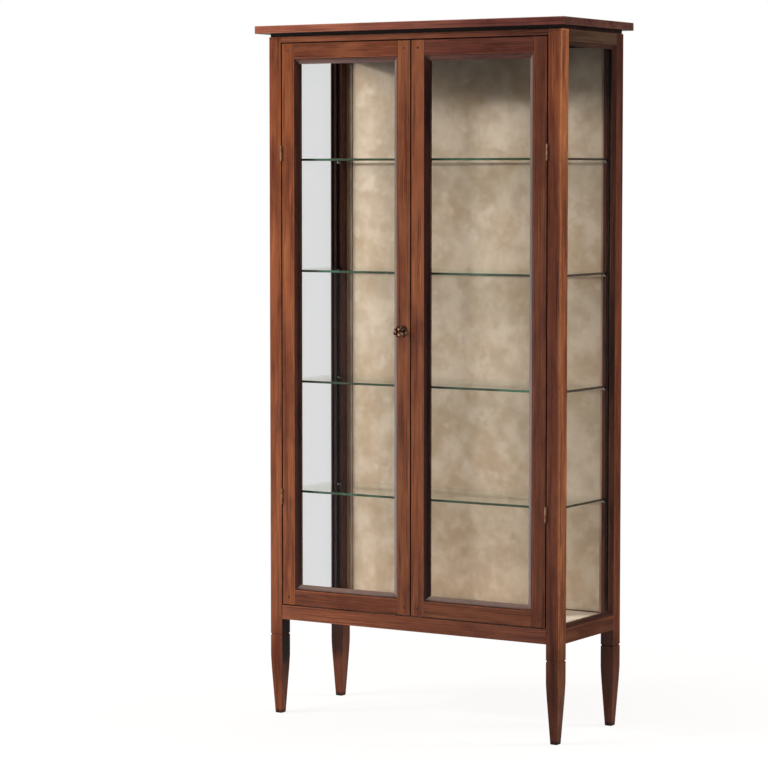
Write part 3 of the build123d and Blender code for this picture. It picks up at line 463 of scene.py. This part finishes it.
# Back
# A thin back panel held in grooves in the rear posts and rails, faced with velvet. Two dull
# battens cover the velvet's edges beside the posts.
BATTEN = ((0.26, 0.19, 0.13), (0.46, 0.36, 0.26), (0.60, 0.48, 0.36))
dress("back_panel", stained_walnut("back_panel_ply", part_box("back_panel"), "Z", 15, SIDE_RAIL))
dress("back_battens", stained_walnut("back_battens_walnut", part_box("back_battens"), "Z", 16, BATTEN))
back_low, back_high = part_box("back_lining")
back_cut = [
    (back_low.x, back_low.z),
    (back_high.x, back_low.z),
    (back_high.x, back_high.z),
    (back_low.x, back_high.z),
]
back_velvet = cloth_pad(
    "back_velvet",
    back_cut,
    back_high.y - back_low.y,
    lambda co: Vector((co.x, back_high.y - co.z, co.y)),
    pale_velvet("back_velvet", (0.75, 0.64, 0.51), (0.60, 0.485, 0.365), (0.0, 0.0, 0.0)),
)
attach(back_velvet, "cabinet")
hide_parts("back_lining")


# Side glazing
# One pane in each side, between a mitred walnut moulding that slopes to the glass outside and
# plain square beads inside.
# The side moulding's dark stain is partly painted shade on its slopes
SIDE_MOULDING_STAIN_AND_SHADE = ((0.010, 0.004, 0.003), (0.038, 0.014, 0.009), (0.102, 0.039, 0.024))
SIDE_BEAD = ((0.006, 0.004, 0.003), (0.013, 0.006, 0.005), (0.030, 0.014, 0.010))
SIDE_WAX = 0.4
MOULDING_SHADE_WIDTH = 0.0022
PANE_TINT = (0.925, 0.928, 0.93, 1.0)
PANE_GLEAM = (0.95, 0.97, 0.96, 1.0)
SMEARS = (9.0, 9.0, 6.0)


def see_through(tree, tint, gleam, rough, square_on, slanted):
    """Glass that shows what is behind it, and mirrors more at a slant than square on."""
    slant = put(tree, "ShaderNodeLayerWeight", {"Blend": 0.5}).outputs["Facing"]
    mirror = figure(tree, "MULTIPLY_ADD", figure(tree, "POWER", slant, 5.0), slanted, square_on)
    clear = put(tree, "ShaderNodeBsdfTransparent", {"Color": tint}).outputs[0]
    shine = put(tree, "ShaderNodeBsdfGlossy", {"Color": gleam, "Roughness": rough}).outputs[0]
    return put(tree, "ShaderNodeMixShader", {0: mirror, 1: clear, 2: shine}).outputs[0]


def wiped_glass():
    """Clear glass for a pane, with the faint smears of a cloth."""
    made, tree, out, place = finish_named("pane_glass")
    smears = soft_step(tree, cloud(tree, place, SMEARS, 4.0, 0.6).outputs[0], 0.45, 0.8, 0.01, 0.04)
    tree.links.new(see_through(tree, PANE_TINT, PANE_GLEAM, smears, 0.012, 0.88), out.inputs[0])
    return made


def glaze(node):
    """Glass for a pane. It throws no shadow, because a look through two panes and the shelves
    meets more faces of glass than the renderer follows, and would end in a dark band."""
    dress(node, pane_glass)
    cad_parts[node].visible_shadow = False


def outline_tones(box, across, tone, wide):
    """Tones that paint shade along a frame's outer edge, in the direction across it and in height."""
    low, high = box
    axis = "XYZ".index(across)
    return (
        (across, low[axis] + wide, low[axis] + wide / 2, tone),
        (across, high[axis] - wide, high[axis] - wide / 2, tone),
        ("Z", low.z + wide, low.z + wide / 2, tone),
        ("Z", high.z - wide, high.z - wide / 2, tone),
    )


pane_glass = wiped_glass()
for side, board in (("left", 17), ("right", 19)):
    moulding = side + "_side_moulding"
    beads = side + "_side_beads"
    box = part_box(moulding)
    # Painted shade line round the moulding's outer edge
    tones = outline_tones(box, "Y", GAP_SHADE, MOULDING_SHADE_WIDTH)
    waxed = stained_walnut(moulding + "_walnut", box, "Y", board, SIDE_MOULDING_STAIN_AND_SHADE, tones, True, SIDE_WAX)
    dress(moulding, waxed)
    dress(beads, stained_walnut(beads + "_walnut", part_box(beads), "Y", board + 1, SIDE_BEAD, (), True))
    glaze(side + "_side_glass")


# Top
# A walnut slab with eased edges, on a thin board stained near black and set back from the frame:
# the dark line all round is partly real shadow and partly painted shade. A stop for the doors is fixed
# under the front rail.
SLAB = ((0.041, 0.011, 0.009), (0.177, 0.047, 0.026), (0.354, 0.124, 0.073))
# The under board's near-black stain is painted shade for the shadow line under the slab
UNDER_BOARD_PAINTED_SHADE = ((0.006, 0.003, 0.003), (0.016, 0.007, 0.006), (0.035, 0.016, 0.012))
slab_low, slab_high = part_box("top_board")
# Painted shade on the slab: darker to the right for the light's fall-off from the left, and a near-black
# underside
slab_tones = (
    ("X", -0.32, 0.30, (0.48, 0.42, 0.56)),
    ("X", slab_high.x - 0.006, slab_high.x - 0.001, (0.80, 1.15, 1.15)),
    ("Z", slab_low.z + 0.0015, slab_low.z + 0.0005, (0.14, 0.12, 0.14)),
)
for node, board, stain, tones in (
    ("top_board", 21, SLAB, slab_tones),
    ("under_board", 22, UNDER_BOARD_PAINTED_SHADE, ()),
    ("door_stop", 23, SIDE_RAIL, ()),
):
    dress(node, stained_walnut(node + "_walnut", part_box(node), "X", board, stain, tones))


# Shelves
# Four glass shelves with ground edges, green in front and brown at the ends. Each lies on four
# bright metal pins that stand in the posts.
METAL_PATCHES = (90.0, 90.0, 90.0)
METAL_SCRATCHES = (900.0, 300.0, 900.0)
SCRATCH_DEPTH = 0.0002


def worn_metal(name, bright, dull, rough, patina, metallic=0.95):
    """Metal that has gone dull in patches. patina is the share of it that has."""
    made, tree, out, place = finish_named(name)
    patches = cloud(tree, place, METAL_PATCHES, 4.0, 0.65).outputs[0]
    scratches = cloud(tree, place, METAL_SCRATCHES, 2.0).outputs[0]
    gone = soft_step(tree, patches, 0.62 - patina * 0.4, 0.82 - patina * 0.4)
    colour = tinted(tree, gone, (*bright, 1.0), (*dull, 1.0))
    scuffed = figure(tree, "MULTIPLY_ADD", scratches, 0.15, rough)
    height = figure(tree, "MULTIPLY_ADD", scratches, 0.4, patches)
    bump = {"Height": height, "Strength": 0.3, "Distance": SCRATCH_DEPTH}
    cast = {
        "Base Color": colour,
        "Roughness": figure(tree, "MULTIPLY_ADD", gone, 0.25, scuffed),
        "Metallic": metallic,
        "Normal": put(tree, "ShaderNodeBump", bump).outputs[0],
    }
    tree.links.new(put(tree, "ShaderNodeBsdfPrincipled", cast).outputs[0], out.inputs[0])
    return made


SHELF_TINT = (0.985, 0.993, 0.988, 1.0)
SHELF_GLEAM = (0.90, 0.93, 0.91, 1.0)
EDGE_SKIN = 0.0005
EDGE_GRIT = (500.0, 500.0, 900.0)
EDGE_PATCHES = (7.0, 9.0, 5.0)
EDGE_OLIVE = (0.030, 0.042, 0.022, 1.0)
EDGE_GREEN = (0.060, 0.165, 0.115, 1.0)
EDGE_PALE = (0.12, 0.20, 0.14, 1.0)
EDGE_BROWN = (0.060, 0.047, 0.034, 1.0)


def shelf_glass(box):
    """Clear plate glass with ground edges: green in front and a dull brown at the ends."""
    made, tree, out, place = finish_named("shelf_glass")
    low, high = box

    # The ground rim is the skin of the four edges, seen from outside
    part = parts_of(tree, place)
    from_end = figure(tree, "SUBTRACT", high.x - EDGE_SKIN, figure(tree, "ABSOLUTE", part[0]))
    from_middle = figure(tree, "ABSOLUTE", figure(tree, "SUBTRACT", part[1], (low.y + high.y) / 2))
    from_front = figure(tree, "SUBTRACT", (high.y - low.y) / 2 - EDGE_SKIN, from_middle)
    rim = figure(tree, "LESS_THAN", figure(tree, "MINIMUM", from_end, from_front), 0.0)
    behind = put(tree, "ShaderNodeNewGeometry").outputs["Backfacing"]
    ground = figure(tree, "MULTIPLY", rim, figure(tree, "SUBTRACT", 1.0, behind))

    plate = see_through(tree, SHELF_TINT, SHELF_GLEAM, 0.02, 0.022, 0.50)
    grit = cloud(tree, place, EDGE_GRIT, 2.0).outputs[0]
    patches = soft_step(tree, cloud(tree, place, EDGE_PATCHES, 3.0, 0.6).outputs[0], 0.45, 0.66)
    green = tinted(tree, patches, EDGE_OLIVE, EDGE_GREEN)
    green = tinted(tree, figure(tree, "MULTIPLY", grit, 0.25), green, EDGE_PALE)
    at_end = figure(tree, "LESS_THAN", from_end, 0.0)
    rim_colour = tinted(tree, at_end, green, EDGE_BROWN)
    rough = soft_step(tree, grit, 0.3, 0.7, 0.18, 0.4)
    edge = {"Base Color": rim_colour, "Roughness": rough, "Specular IOR Level": 0.6}
    edge_shader = put(tree, "ShaderNodeBsdfPrincipled", edge).outputs[0]
    whole = put(tree, "ShaderNodeMixShader", {0: ground, 1: plate, 2: edge_shader}).outputs[0]
    tree.links.new(whole, out.inputs[0])
    return made


shelf_finish = shelf_glass(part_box("shelf_1"))
for count in (1, 2, 3, 4):
    dress(f"shelf_{count}", shelf_finish)
dress("shelf_pins", worn_metal("bright_pins", (0.85, 0.83, 0.78), (0.45, 0.42, 0.37), 0.18, 0.1))


# Doors
# Two frames of walnut, mortised and tenoned and held by round pegs. A mitred moulding slopes to
# the glass in front, and beads hold the glass from inside.
HINGE_STILE = ((0.044, 0.008, 0.005), (0.166, 0.042, 0.014), (0.322, 0.109, 0.039))
LEFT_RAIL = ((0.035, 0.008, 0.005), (0.136, 0.036, 0.014), (0.262, 0.087, 0.039))
LOCK_STILE = ((0.029, 0.006, 0.004), (0.126, 0.034, 0.013), (0.256, 0.090, 0.036))
MEETING_STILE = ((0.032, 0.007, 0.005), (0.142, 0.039, 0.015), (0.272, 0.094, 0.040))
RIGHT_STILE = ((0.015, 0.004, 0.004), (0.085, 0.021, 0.010), (0.170, 0.055, 0.025))
RIGHT_TOP = ((0.014, 0.004, 0.004), (0.071, 0.017, 0.010), (0.155, 0.047, 0.028))
RIGHT_BOTTOM = ((0.021, 0.006, 0.004), (0.102, 0.029, 0.012), (0.197, 0.067, 0.031))
DOOR_MOULDING = ((0.010, 0.003, 0.003), (0.051, 0.014, 0.009), (0.145, 0.049, 0.029))
DOOR_BEAD = ((0.020, 0.007, 0.005), (0.075, 0.025, 0.015), (0.150, 0.055, 0.030))
PEG = ((0.006, 0.003, 0.003), (0.022, 0.009, 0.007), (0.080, 0.036, 0.024))
JOINT = (0.35, 0.28, 0.28)
JOINT_LINE = 0.0010
DOOR_WAX = 0.5
# Painted shade on each door moulding's left-hand bar, which faces away from the lamps
SHADED_BAR = 0.015
SHADED_BAR_BLUR = 0.0005
LEFT_BAR_SHADE = (0.50, 0.42, 0.45)
RIGHT_BAR_SHADE = (0.34, 0.26, 0.28)
left_stains = (HINGE_STILE, LOCK_STILE, LEFT_RAIL, LEFT_RAIL)
right_stains = (RIGHT_STILE, MEETING_STILE, RIGHT_TOP, RIGHT_BOTTOM)
for side, meeting_stile, stains, bar_shade, board in (
    ("left", "left_door_lock_stile", left_stains, LEFT_BAR_SHADE, 24),
    ("right", "right_door_meeting_stile", right_stains, RIGHT_BAR_SHADE, 32),
):
    door = side + "_door"
    hinge_stile = door + "_hinge_stile"
    corners = [corner for node in (hinge_stile, meeting_stile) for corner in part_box(node)]
    door_low = Vector([min(corner[axis] for corner in corners) for axis in range(3)])
    door_high = Vector([max(corner[axis] for corner in corners) for axis in range(3)])
    # Painted shade round the door's outer edges, where it shuts against the frame
    gap_shade_tones = outline_tones((door_low, door_high), "X", GAP_SHADE, GAP_SHADE_WIDTH)
    left_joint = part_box(door + "_moulding")[0].x
    right_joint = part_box(door + "_moulding")[1].x
    joint_tones = gap_shade_tones + (
        ("X", left_joint + JOINT_LINE, left_joint + JOINT_LINE / 3, JOINT),
        ("X", right_joint - JOINT_LINE, right_joint - JOINT_LINE / 3, JOINT),
    )
    for node, stain, along, tones in (
        (hinge_stile, stains[0], "Z", gap_shade_tones),
        (meeting_stile, stains[1], "Z", gap_shade_tones),
        (door + "_top_rail", stains[2], "X", joint_tones),
        (door + "_bottom_rail", stains[3], "X", joint_tones),
        (door + "_pegs", PEG, "Y", ()),
    ):
        board += 1
        dress(node, stained_walnut(node + "_walnut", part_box(node), along, board, stain, tones))
    for node, stain in ((door + "_moulding", DOOR_MOULDING), (door + "_beads", DOOR_BEAD)):
        board += 1
        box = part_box(node)
        # Painted shade: a dark line round the moulding's outer edge, and its left-hand bar darkened
        shade_end = box[0].x + SHADED_BAR
        shaded = ("X", shade_end + SHADED_BAR_BLUR, shade_end - SHADED_BAR_BLUR, bar_shade)
        tones = outline_tones(box, "X", GAP_SHADE, MOULDING_SHADE_WIDTH) + (shaded,)
        dress(node, stained_walnut(node + "_walnut", box, "X", board, stain, tones, True, DOOR_WAX))
    glaze(door + "_glass")


# Hinges
# Four brass butt hinges let into the posts and door stiles, with loose pins that end in
# rounded tips. Three slotted countersunk screws hold each leaf. The brass has gone brown.
aged_brass = worn_metal("aged_brass", (0.37, 0.21, 0.125), (0.15, 0.070, 0.040), 0.36, 0.5, 0.5)
for node in ("post_hinge_leaves", "left_door_hinge_leaves", "right_door_hinge_leaves", "hinge_pins"):
    dress(node, aged_brass)

# Shares of a screw head's radius
HEAD_TAPER = 0.55
HEAD_DEPTH = 0.4
HEAD_SIDES = 20
SLOT_LONG = 2.4
SLOT_WIDE = 0.28
SLOT_DEPTH = 0.25
HEAD_PROUD = 0.0002


def screw_rows():
    """A row of slotted countersunk screws on each point, turned as the point says."""
    tree = bpy.data.node_groups.new("screw_rows", "GeometryNodeTree")
    lengths = ("Head Radius", "Head Depth", "Head Proud", "Slot Width", "Slot Depth", "Pitch")
    takes = [("Geometry", "Geometry"), *((name, "Float") for name in lengths)]
    takes += [("Count", "Int"), ("Metal", "Material")]
    name_sockets(tree, takes, (("Geometry", "Geometry"),))
    given = put(tree, "NodeGroupInput").outputs

    # One head: a cone with its wide end up, cut across by the slot
    cone = {
        "Vertices": HEAD_SIDES,
        "Radius Top": given["Head Radius"],
        "Radius Bottom": figure(tree, "MULTIPLY", given["Head Radius"], HEAD_TAPER),
        "Depth": given["Head Depth"],
    }
    head = put(tree, "GeometryNodeMeshCone", cone, fill_type="NGON").outputs["Mesh"]
    sunk = figure(tree, "SUBTRACT", given["Head Proud"], given["Head Depth"])
    down = put(tree, "ShaderNodeCombineXYZ", {2: sunk}).outputs[0]
    head = put(tree, "GeometryNodeTransform", {"Geometry": head, "Translation": down}).outputs[0]
    slot_size = {
        0: figure(tree, "MULTIPLY", given["Head Radius"], SLOT_LONG),
        1: given["Slot Width"],
        2: figure(tree, "MULTIPLY", given["Slot Depth"], 2.0),
    }
    bar = {"Size": put(tree, "ShaderNodeCombineXYZ", slot_size).outputs[0]}
    slot = put(tree, "GeometryNodeMeshCube", bar).outputs["Mesh"]
    up = put(tree, "ShaderNodeCombineXYZ", {2: given["Head Proud"]}).outputs[0]
    slot = put(tree, "GeometryNodeTransform", {"Geometry": slot, "Translation": up}).outputs[0]
    both = {"Mesh 1": head, "Mesh 2": slot}
    cut = put(tree, "GeometryNodeMeshBoolean", both, operation="DIFFERENCE").outputs["Mesh"]

    # The row, with each slot left where its screw went tight
    spread = figure(tree, "MULTIPLY", given["Pitch"], figure(tree, "SUBTRACT", given["Count"], 1.0))
    first = figure(tree, "MULTIPLY", spread, -0.5)
    line = {
        "Count": given["Count"],
        "Start Location": put(tree, "ShaderNodeCombineXYZ", {0: first}).outputs[0],
        "Offset": put(tree, "ShaderNodeCombineXYZ", {0: given["Pitch"]}).outputs[0],
    }
    row = put(tree, "GeometryNodeMeshLine", line).outputs[0]
    turn = {0: (0.0, 0.0, 0.0), 1: (0.0, 0.0, radians(180.0)), "Seed": 5}
    tight = put(tree, "FunctionNodeRandomValue", turn, data_type="FLOAT_VECTOR").outputs[0]
    screwed = {"Points": row, "Instance": cut, "Rotation": tight}
    in_row = put(tree, "GeometryNodeInstanceOnPoints", screwed).outputs[0]
    one_row = put(tree, "GeometryNodeRealizeInstances", {"Geometry": in_row}).outputs[0]

    # A row on each point, in its metal
    named = {"Name": "facing"}
    facing = put(tree, "GeometryNodeInputNamedAttribute", named, data_type="FLOAT_VECTOR").outputs[0]
    placed = {"Points": given["Geometry"], "Instance": one_row, "Rotation": facing}
    rows = put(tree, "GeometryNodeInstanceOnPoints", placed).outputs[0]
    real = put(tree, "GeometryNodeRealizeInstances", {"Geometry": rows}).outputs[0]
    metal = {"Geometry": real, "Material": given["Metal"]}
    put(tree, "NodeGroupOutput", {0: put(tree, "GeometryNodeSetMaterial", metal).outputs[0]})
    return tree


screw_tree = screw_rows()


def screws(name, body, places, metal, radius, count=1, pitch=0.0):
    """Screws on one body. Each place is a point on the surface and the turn of its row."""
    mesh = bpy.data.meshes.new(name + "_places")
    mesh.from_pydata([place for place, turn in places], [], [])
    facing = mesh.attributes.new("facing", "FLOAT_VECTOR", "POINT")
    for held, (place, turn) in zip(facing.data, places):
        held.vector = turn
    base = bpy.data.objects.new(name + "_places", mesh)
    bpy.context.scene.collection.objects.link(base)
    drive = base.modifiers.new("screws", "NODES")
    drive.node_group = screw_tree
    sizes = {
        "Head Radius": radius,
        "Head Depth": radius * HEAD_DEPTH,
        "Head Proud": HEAD_PROUD,
        "Slot Width": radius * SLOT_WIDE,
        "Slot Depth": radius * SLOT_DEPTH,
        "Pitch": pitch,
        "Count": count,
        "Metal": metal,
    }
    for item in screw_tree.interface.items_tree:
        if item.in_out == "INPUT" and item.name in sizes:
            drive[item.identifier] = sizes[item.name]
    seen = base.evaluated_get(bpy.context.evaluated_depsgraph_get())
    made = bpy.data.objects.new(name, bpy.data.meshes.new_from_object(seen))
    bpy.context.scene.collection.objects.link(made)
    base.modifiers.remove(drive)
    bpy.data.objects.remove(base)
    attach(made, body)


screw_brass = worn_metal("screw_brass", (0.52, 0.36, 0.18), (0.16, 0.09, 0.05), 0.30, 0.5)
FACES_LEFT = (0.0, radians(-90.0), 0.0)
FACES_RIGHT = (0.0, radians(90.0), 0.0)
FACES_BACK = (radians(-90.0), 0.0, 0.0)
FACES_DOWN = (radians(180.0), 0.0, 0.0)
LEAF_SCREW = 0.0024
LEAF_PITCH = 0.012
LEAF_HALF = 0.019
LEAF_SCREW_INSET = 0.007
leaf_low, leaf_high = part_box("left_door_hinge_leaves")
leaf_y = leaf_high.y - LEAF_SCREW_INSET
leaf_heights = (leaf_low.z + LEAF_HALF, leaf_high.z - LEAF_HALF)
for name, body, faces in (
    ("post", "cabinet", ((left_high.x, FACES_RIGHT), (right_low.x, FACES_LEFT))),
    ("left_door", "left_door", ((left_high.x + DOOR_GAP, FACES_LEFT),)),
    ("right_door", "right_door", ((right_low.x - DOOR_GAP, FACES_RIGHT),)),
):
    places = [((x, leaf_y, z), turn) for x, turn in faces for z in leaf_heights]
    screws(name + "_hinge_screws", body, places, screw_brass, LEAF_SCREW, 3, LEAF_PITCH)


# Lock and key
# A steel lock on the inside of the left door, with a bronze escutcheon and key in front. Small
# screws hold the lock's case, and its keep on the other door.
aged_bronze = worn_metal("aged_bronze", (0.58, 0.37, 0.23), (0.050, 0.027, 0.018), 0.20, 0.62)
dull_steel = worn_metal("dull_steel", (0.50, 0.49, 0.47), (0.20, 0.18, 0.16), 0.3, 0.5)
for node in ("key", "escutcheon"):
    dress(node, aged_bronze)
for node in ("lock_case", "lock_bolt", "lock_keep"):
    dress(node, dull_steel)
LOCK_SCREW = 0.0016
LOCK_SCREW_INSET = 0.004
case_low, case_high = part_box("lock_case")
case_places = [
    ((x, case_high.y, z), FACES_BACK)
    for x in (case_low.x + LOCK_SCREW_INSET, case_high.x - LOCK_SCREW_INSET)
    for z in (case_low.z + LOCK_SCREW_INSET, case_high.z - LOCK_SCREW_INSET)
]
screws("lock_case_screws", "left_door", case_places, dull_steel, LOCK_SCREW)
keep_low, keep_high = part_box("lock_keep")
keep_places = [
    ((keep_high.x - LOCK_SCREW_INSET, keep_high.y, z), FACES_BACK)
    for z in (keep_low.z + LOCK_SCREW_INSET, keep_high.z - LOCK_SCREW_INSET)
]
screws("lock_keep_screws", "right_door", keep_places, dull_steel, LOCK_SCREW)


# Inside bolt
# A sliding brass bolt on the inside of the right door's meeting stile. Its rod is pushed up
# behind an angle under the top rail. Four small screws hold its plate, and two the angle.
satin_brass = worn_metal("satin_brass", (0.62, 0.45, 0.20), (0.28, 0.18, 0.08), 0.25, 0.4)
for node in ("inside_bolt", "inside_bolt_plate", "inside_bolt_keep"):
    dress(node, satin_brass)
BOLT_SCREW = 0.0013
PLATE_THICK = 0.0015
PLATE_SCREW_INSET = 0.0026
GUIDE_REACH = 0.016
plate_low, plate_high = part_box("inside_bolt_plate")
plate_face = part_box("right_door_meeting_stile")[1].y + PLATE_THICK
plate_places = [
    ((x, plate_face, z), FACES_BACK)
    for x in (plate_low.x + PLATE_SCREW_INSET, plate_high.x - PLATE_SCREW_INSET)
    for z in (plate_low.z + GUIDE_REACH, plate_high.z - GUIDE_REACH)
]
screws("bolt_plate_screws", "right_door", plate_places, screw_brass, BOLT_SCREW)
ANGLE_THICK = 0.0018
ANGLE_SCREW_INSET = 0.004
angle_low, angle_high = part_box("inside_bolt_keep")
angle_y = (angle_low.y + angle_high.y) / 2 + ANGLE_THICK / 2
angle_z = angle_high.z - ANGLE_THICK
angle_places = [
    ((x, angle_y, angle_z), FACES_DOWN)
    for x in (angle_low.x + ANGLE_SCREW_INSET, angle_high.x - ANGLE_SCREW_INSET)
]
screws("bolt_keep_screws", "cabinet", angle_places, screw_brass, BOLT_SCREW)


# Studio
# A pale floor that fades into a white room, three lamps in front on the left and one behind on
# the right, and a camera at the photograph's angle.
WHITE = (1.0, 1.0, 1.0, 1.0)
LEFT_GLOW = (-0.97, -0.24, 0.0)
GLOW_SPAN = (0.80, 0.95)
GLOW_LEVEL = 2.6
FLOOR_GREY = (0.14, 0.14, 0.14, 1.0)
FLOOR_SPREAD = 0.40
FLOOR_MIRRORED = (0.40, 0.06)
FLOOR_REACH = 30.0
NEAR_LEVEL = 0.83


def toward(tree, way, aim):
    """How nearly a direction points one way: 1 when it does, and 0 square to it."""
    sides = {0: way, 1: aim}
    return put(tree, "ShaderNodeVectorMath", sides, operation="DOT_PRODUCT").outputs["Value"]


def studio_floor():
    """Pale floor: white to the eye, with the case's faint shadow, and bright in mirrors only
    on the left, where the photograph's mouldings have their shine from."""
    made, tree, out, place = finish_named("studio_floor")
    away = put(tree, "ShaderNodeVectorMath", {0: place}, operation="LENGTH").outputs["Value"]
    heading = shift(tree, "NORMALIZE", place, (0.0, 0.0, 0.0))
    glow = soft_step(tree, toward(tree, heading, LEFT_GLOW), *GLOW_SPAN, 0.0, GLOW_LEVEL)
    glow = figure(tree, "MULTIPLY", glow, soft_step(tree, away, 1.2, 2.4))
    dim = soft_step(tree, parts_of(tree, place)[0], -2.0, 1.5, *FLOOR_MIRRORED)
    ray = put(tree, "ShaderNodeLightPath").outputs
    seen = figure(tree, "MAXIMUM", ray["Is Camera Ray"], ray["Is Transmission Ray"])
    mirrored = figure(tree, "MULTIPLY", ray["Is Glossy Ray"], figure(tree, "ADD", glow, dim))
    spread = figure(tree, "MULTIPLY", ray["Is Diffuse Ray"], FLOOR_SPREAD)
    shown = figure(tree, "MAXIMUM", seen, figure(tree, "MAXIMUM", mirrored, spread))
    matt = put(tree, "ShaderNodeBsdfDiffuse", {"Color": FLOOR_GREY}).outputs[0]
    near_glow = {"Color": WHITE, "Strength": figure(tree, "MULTIPLY", shown, NEAR_LEVEL)}
    shining = put(tree, "ShaderNodeEmission", near_glow).outputs[0]
    near = put(tree, "ShaderNodeAddShader", {0: matt, 1: shining}).outputs[0]
    far = put(tree, "ShaderNodeEmission", {"Color": WHITE, "Strength": shown}).outputs[0]
    both = {0: soft_step(tree, away, 0.7, 1.6), 1: near, 2: far}
    tree.links.new(put(tree, "ShaderNodeMixShader", both).outputs[0], out.inputs[0])
    return made


end = FLOOR_REACH
floor_mesh = bpy.data.meshes.new("studio_floor")
floor_mesh.from_pydata([(-end, -end, 0), (end, -end, 0), (end, end, 0), (-end, end, 0)], [], [(0, 1, 2, 3)])
floor_mesh.materials.append(studio_floor())
studio = bpy.data.objects.new("studio_floor", floor_mesh)
bpy.context.scene.collection.objects.link(studio)

AIR_LEVEL = 0.80
AIR_TINT = (1.0, 0.90, 0.79, 1.0)
MIRRORED_LEVEL = 0.06
room = bpy.data.worlds.new("white_room")
room.use_nodes = True
air = room.node_tree
air.nodes.clear()
ray = put(air, "ShaderNodeLightPath").outputs
aim = put(air, "ShaderNodeTexCoord").outputs["Generated"]

# Soft lights that only polished wood, metal and glass see. The left one ends near the floor
low_glow = soft_step(air, toward(air, aim, LEFT_GLOW), *GLOW_SPAN, 0.0, GLOW_LEVEL)
low_glow = figure(air, "MULTIPLY", low_glow, soft_step(air, parts_of(air, aim)[2], 0.12, 0.03))
high_glow = soft_step(air, toward(air, aim, (-0.60, -0.58, 0.55)), 0.90, 0.98, 0.0, 3.0)
rear_glow = soft_step(air, toward(air, aim, (-0.51, 0.86, 0.07)), 0.80, 0.95, 0.0, 0.75)
mirrored = MIRRORED_LEVEL
for glow in (low_glow, high_glow, rear_glow):
    mirrored = figure(air, "ADD", mirrored, glow)
above_air = figure(air, "SUBTRACT", mirrored, AIR_LEVEL)
level = figure(air, "MULTIPLY_ADD", ray["Is Glossy Ray"], above_air, AIR_LEVEL)
seen = figure(air, "MAXIMUM", ray["Is Camera Ray"], ray["Is Transmission Ray"])
level = figure(air, "MAXIMUM", level, seen)
shade = tinted(air, figure(air, "SUBTRACT", 1.0, seen), WHITE, AIR_TINT)
sky = put(air, "ShaderNodeBackground", {"Color": shade, "Strength": level}).outputs[0]
put(air, "ShaderNodeOutputWorld", {0: sky})
bpy.context.scene.world = room


def soft_lamp(name, place, aim, size, power, colour):
    """A square lamp that faces a point of the case, and leaves no glare in its glass."""
    lamp = bpy.data.lights.new(name, "AREA")
    lamp.shape = "SQUARE"
    lamp.size = size
    lamp.energy = power
    lamp.color = colour
    made = bpy.data.objects.new(name, lamp)
    made.location = place
    made.visible_glossy = False
    made.rotation_euler = (Vector(aim) - Vector(place)).to_track_quat("-Z", "Y").to_euler()
    bpy.context.scene.collection.objects.link(made)


CASE_MIDDLE = (0.0, 0.0, 0.95)
soft_lamp("sharp_left_lamp", (-3.15, -2.70, 2.56), CASE_MIDDLE, 0.22, 72.0, (1.0, 0.97, 0.93))
soft_lamp("soft_left_lamp", (-4.40, -2.90, 2.70), CASE_MIDDLE, 1.1, 72.0, (1.0, 0.97, 0.93))
soft_lamp("high_front_lamp", (-2.60, -4.00, 3.10), CASE_MIDDLE, 1.2, 128.0, (1.0, 0.96, 0.90))
soft_lamp("right_rear_lamp", (3.60, 2.20, 1.90), (0.3, 0.0, 0.95), 1.4, 150.0, (1.0, 0.96, 0.91))

lens = bpy.data.cameras.new("photograph_view")
lens.lens = 134.96
lens.sensor_width = 36.0
camera = bpy.data.objects.new("photograph_view", lens)
camera.location = (3.7748, -6.3863, 1.4134)
camera.rotation_euler = (radians(85.864), 0.0, radians(31.70))
bpy.context.scene.collection.objects.link(camera)
bpy.context.scene.camera = camera
bpy.context.scene.view_settings.view_transform = "Standard"
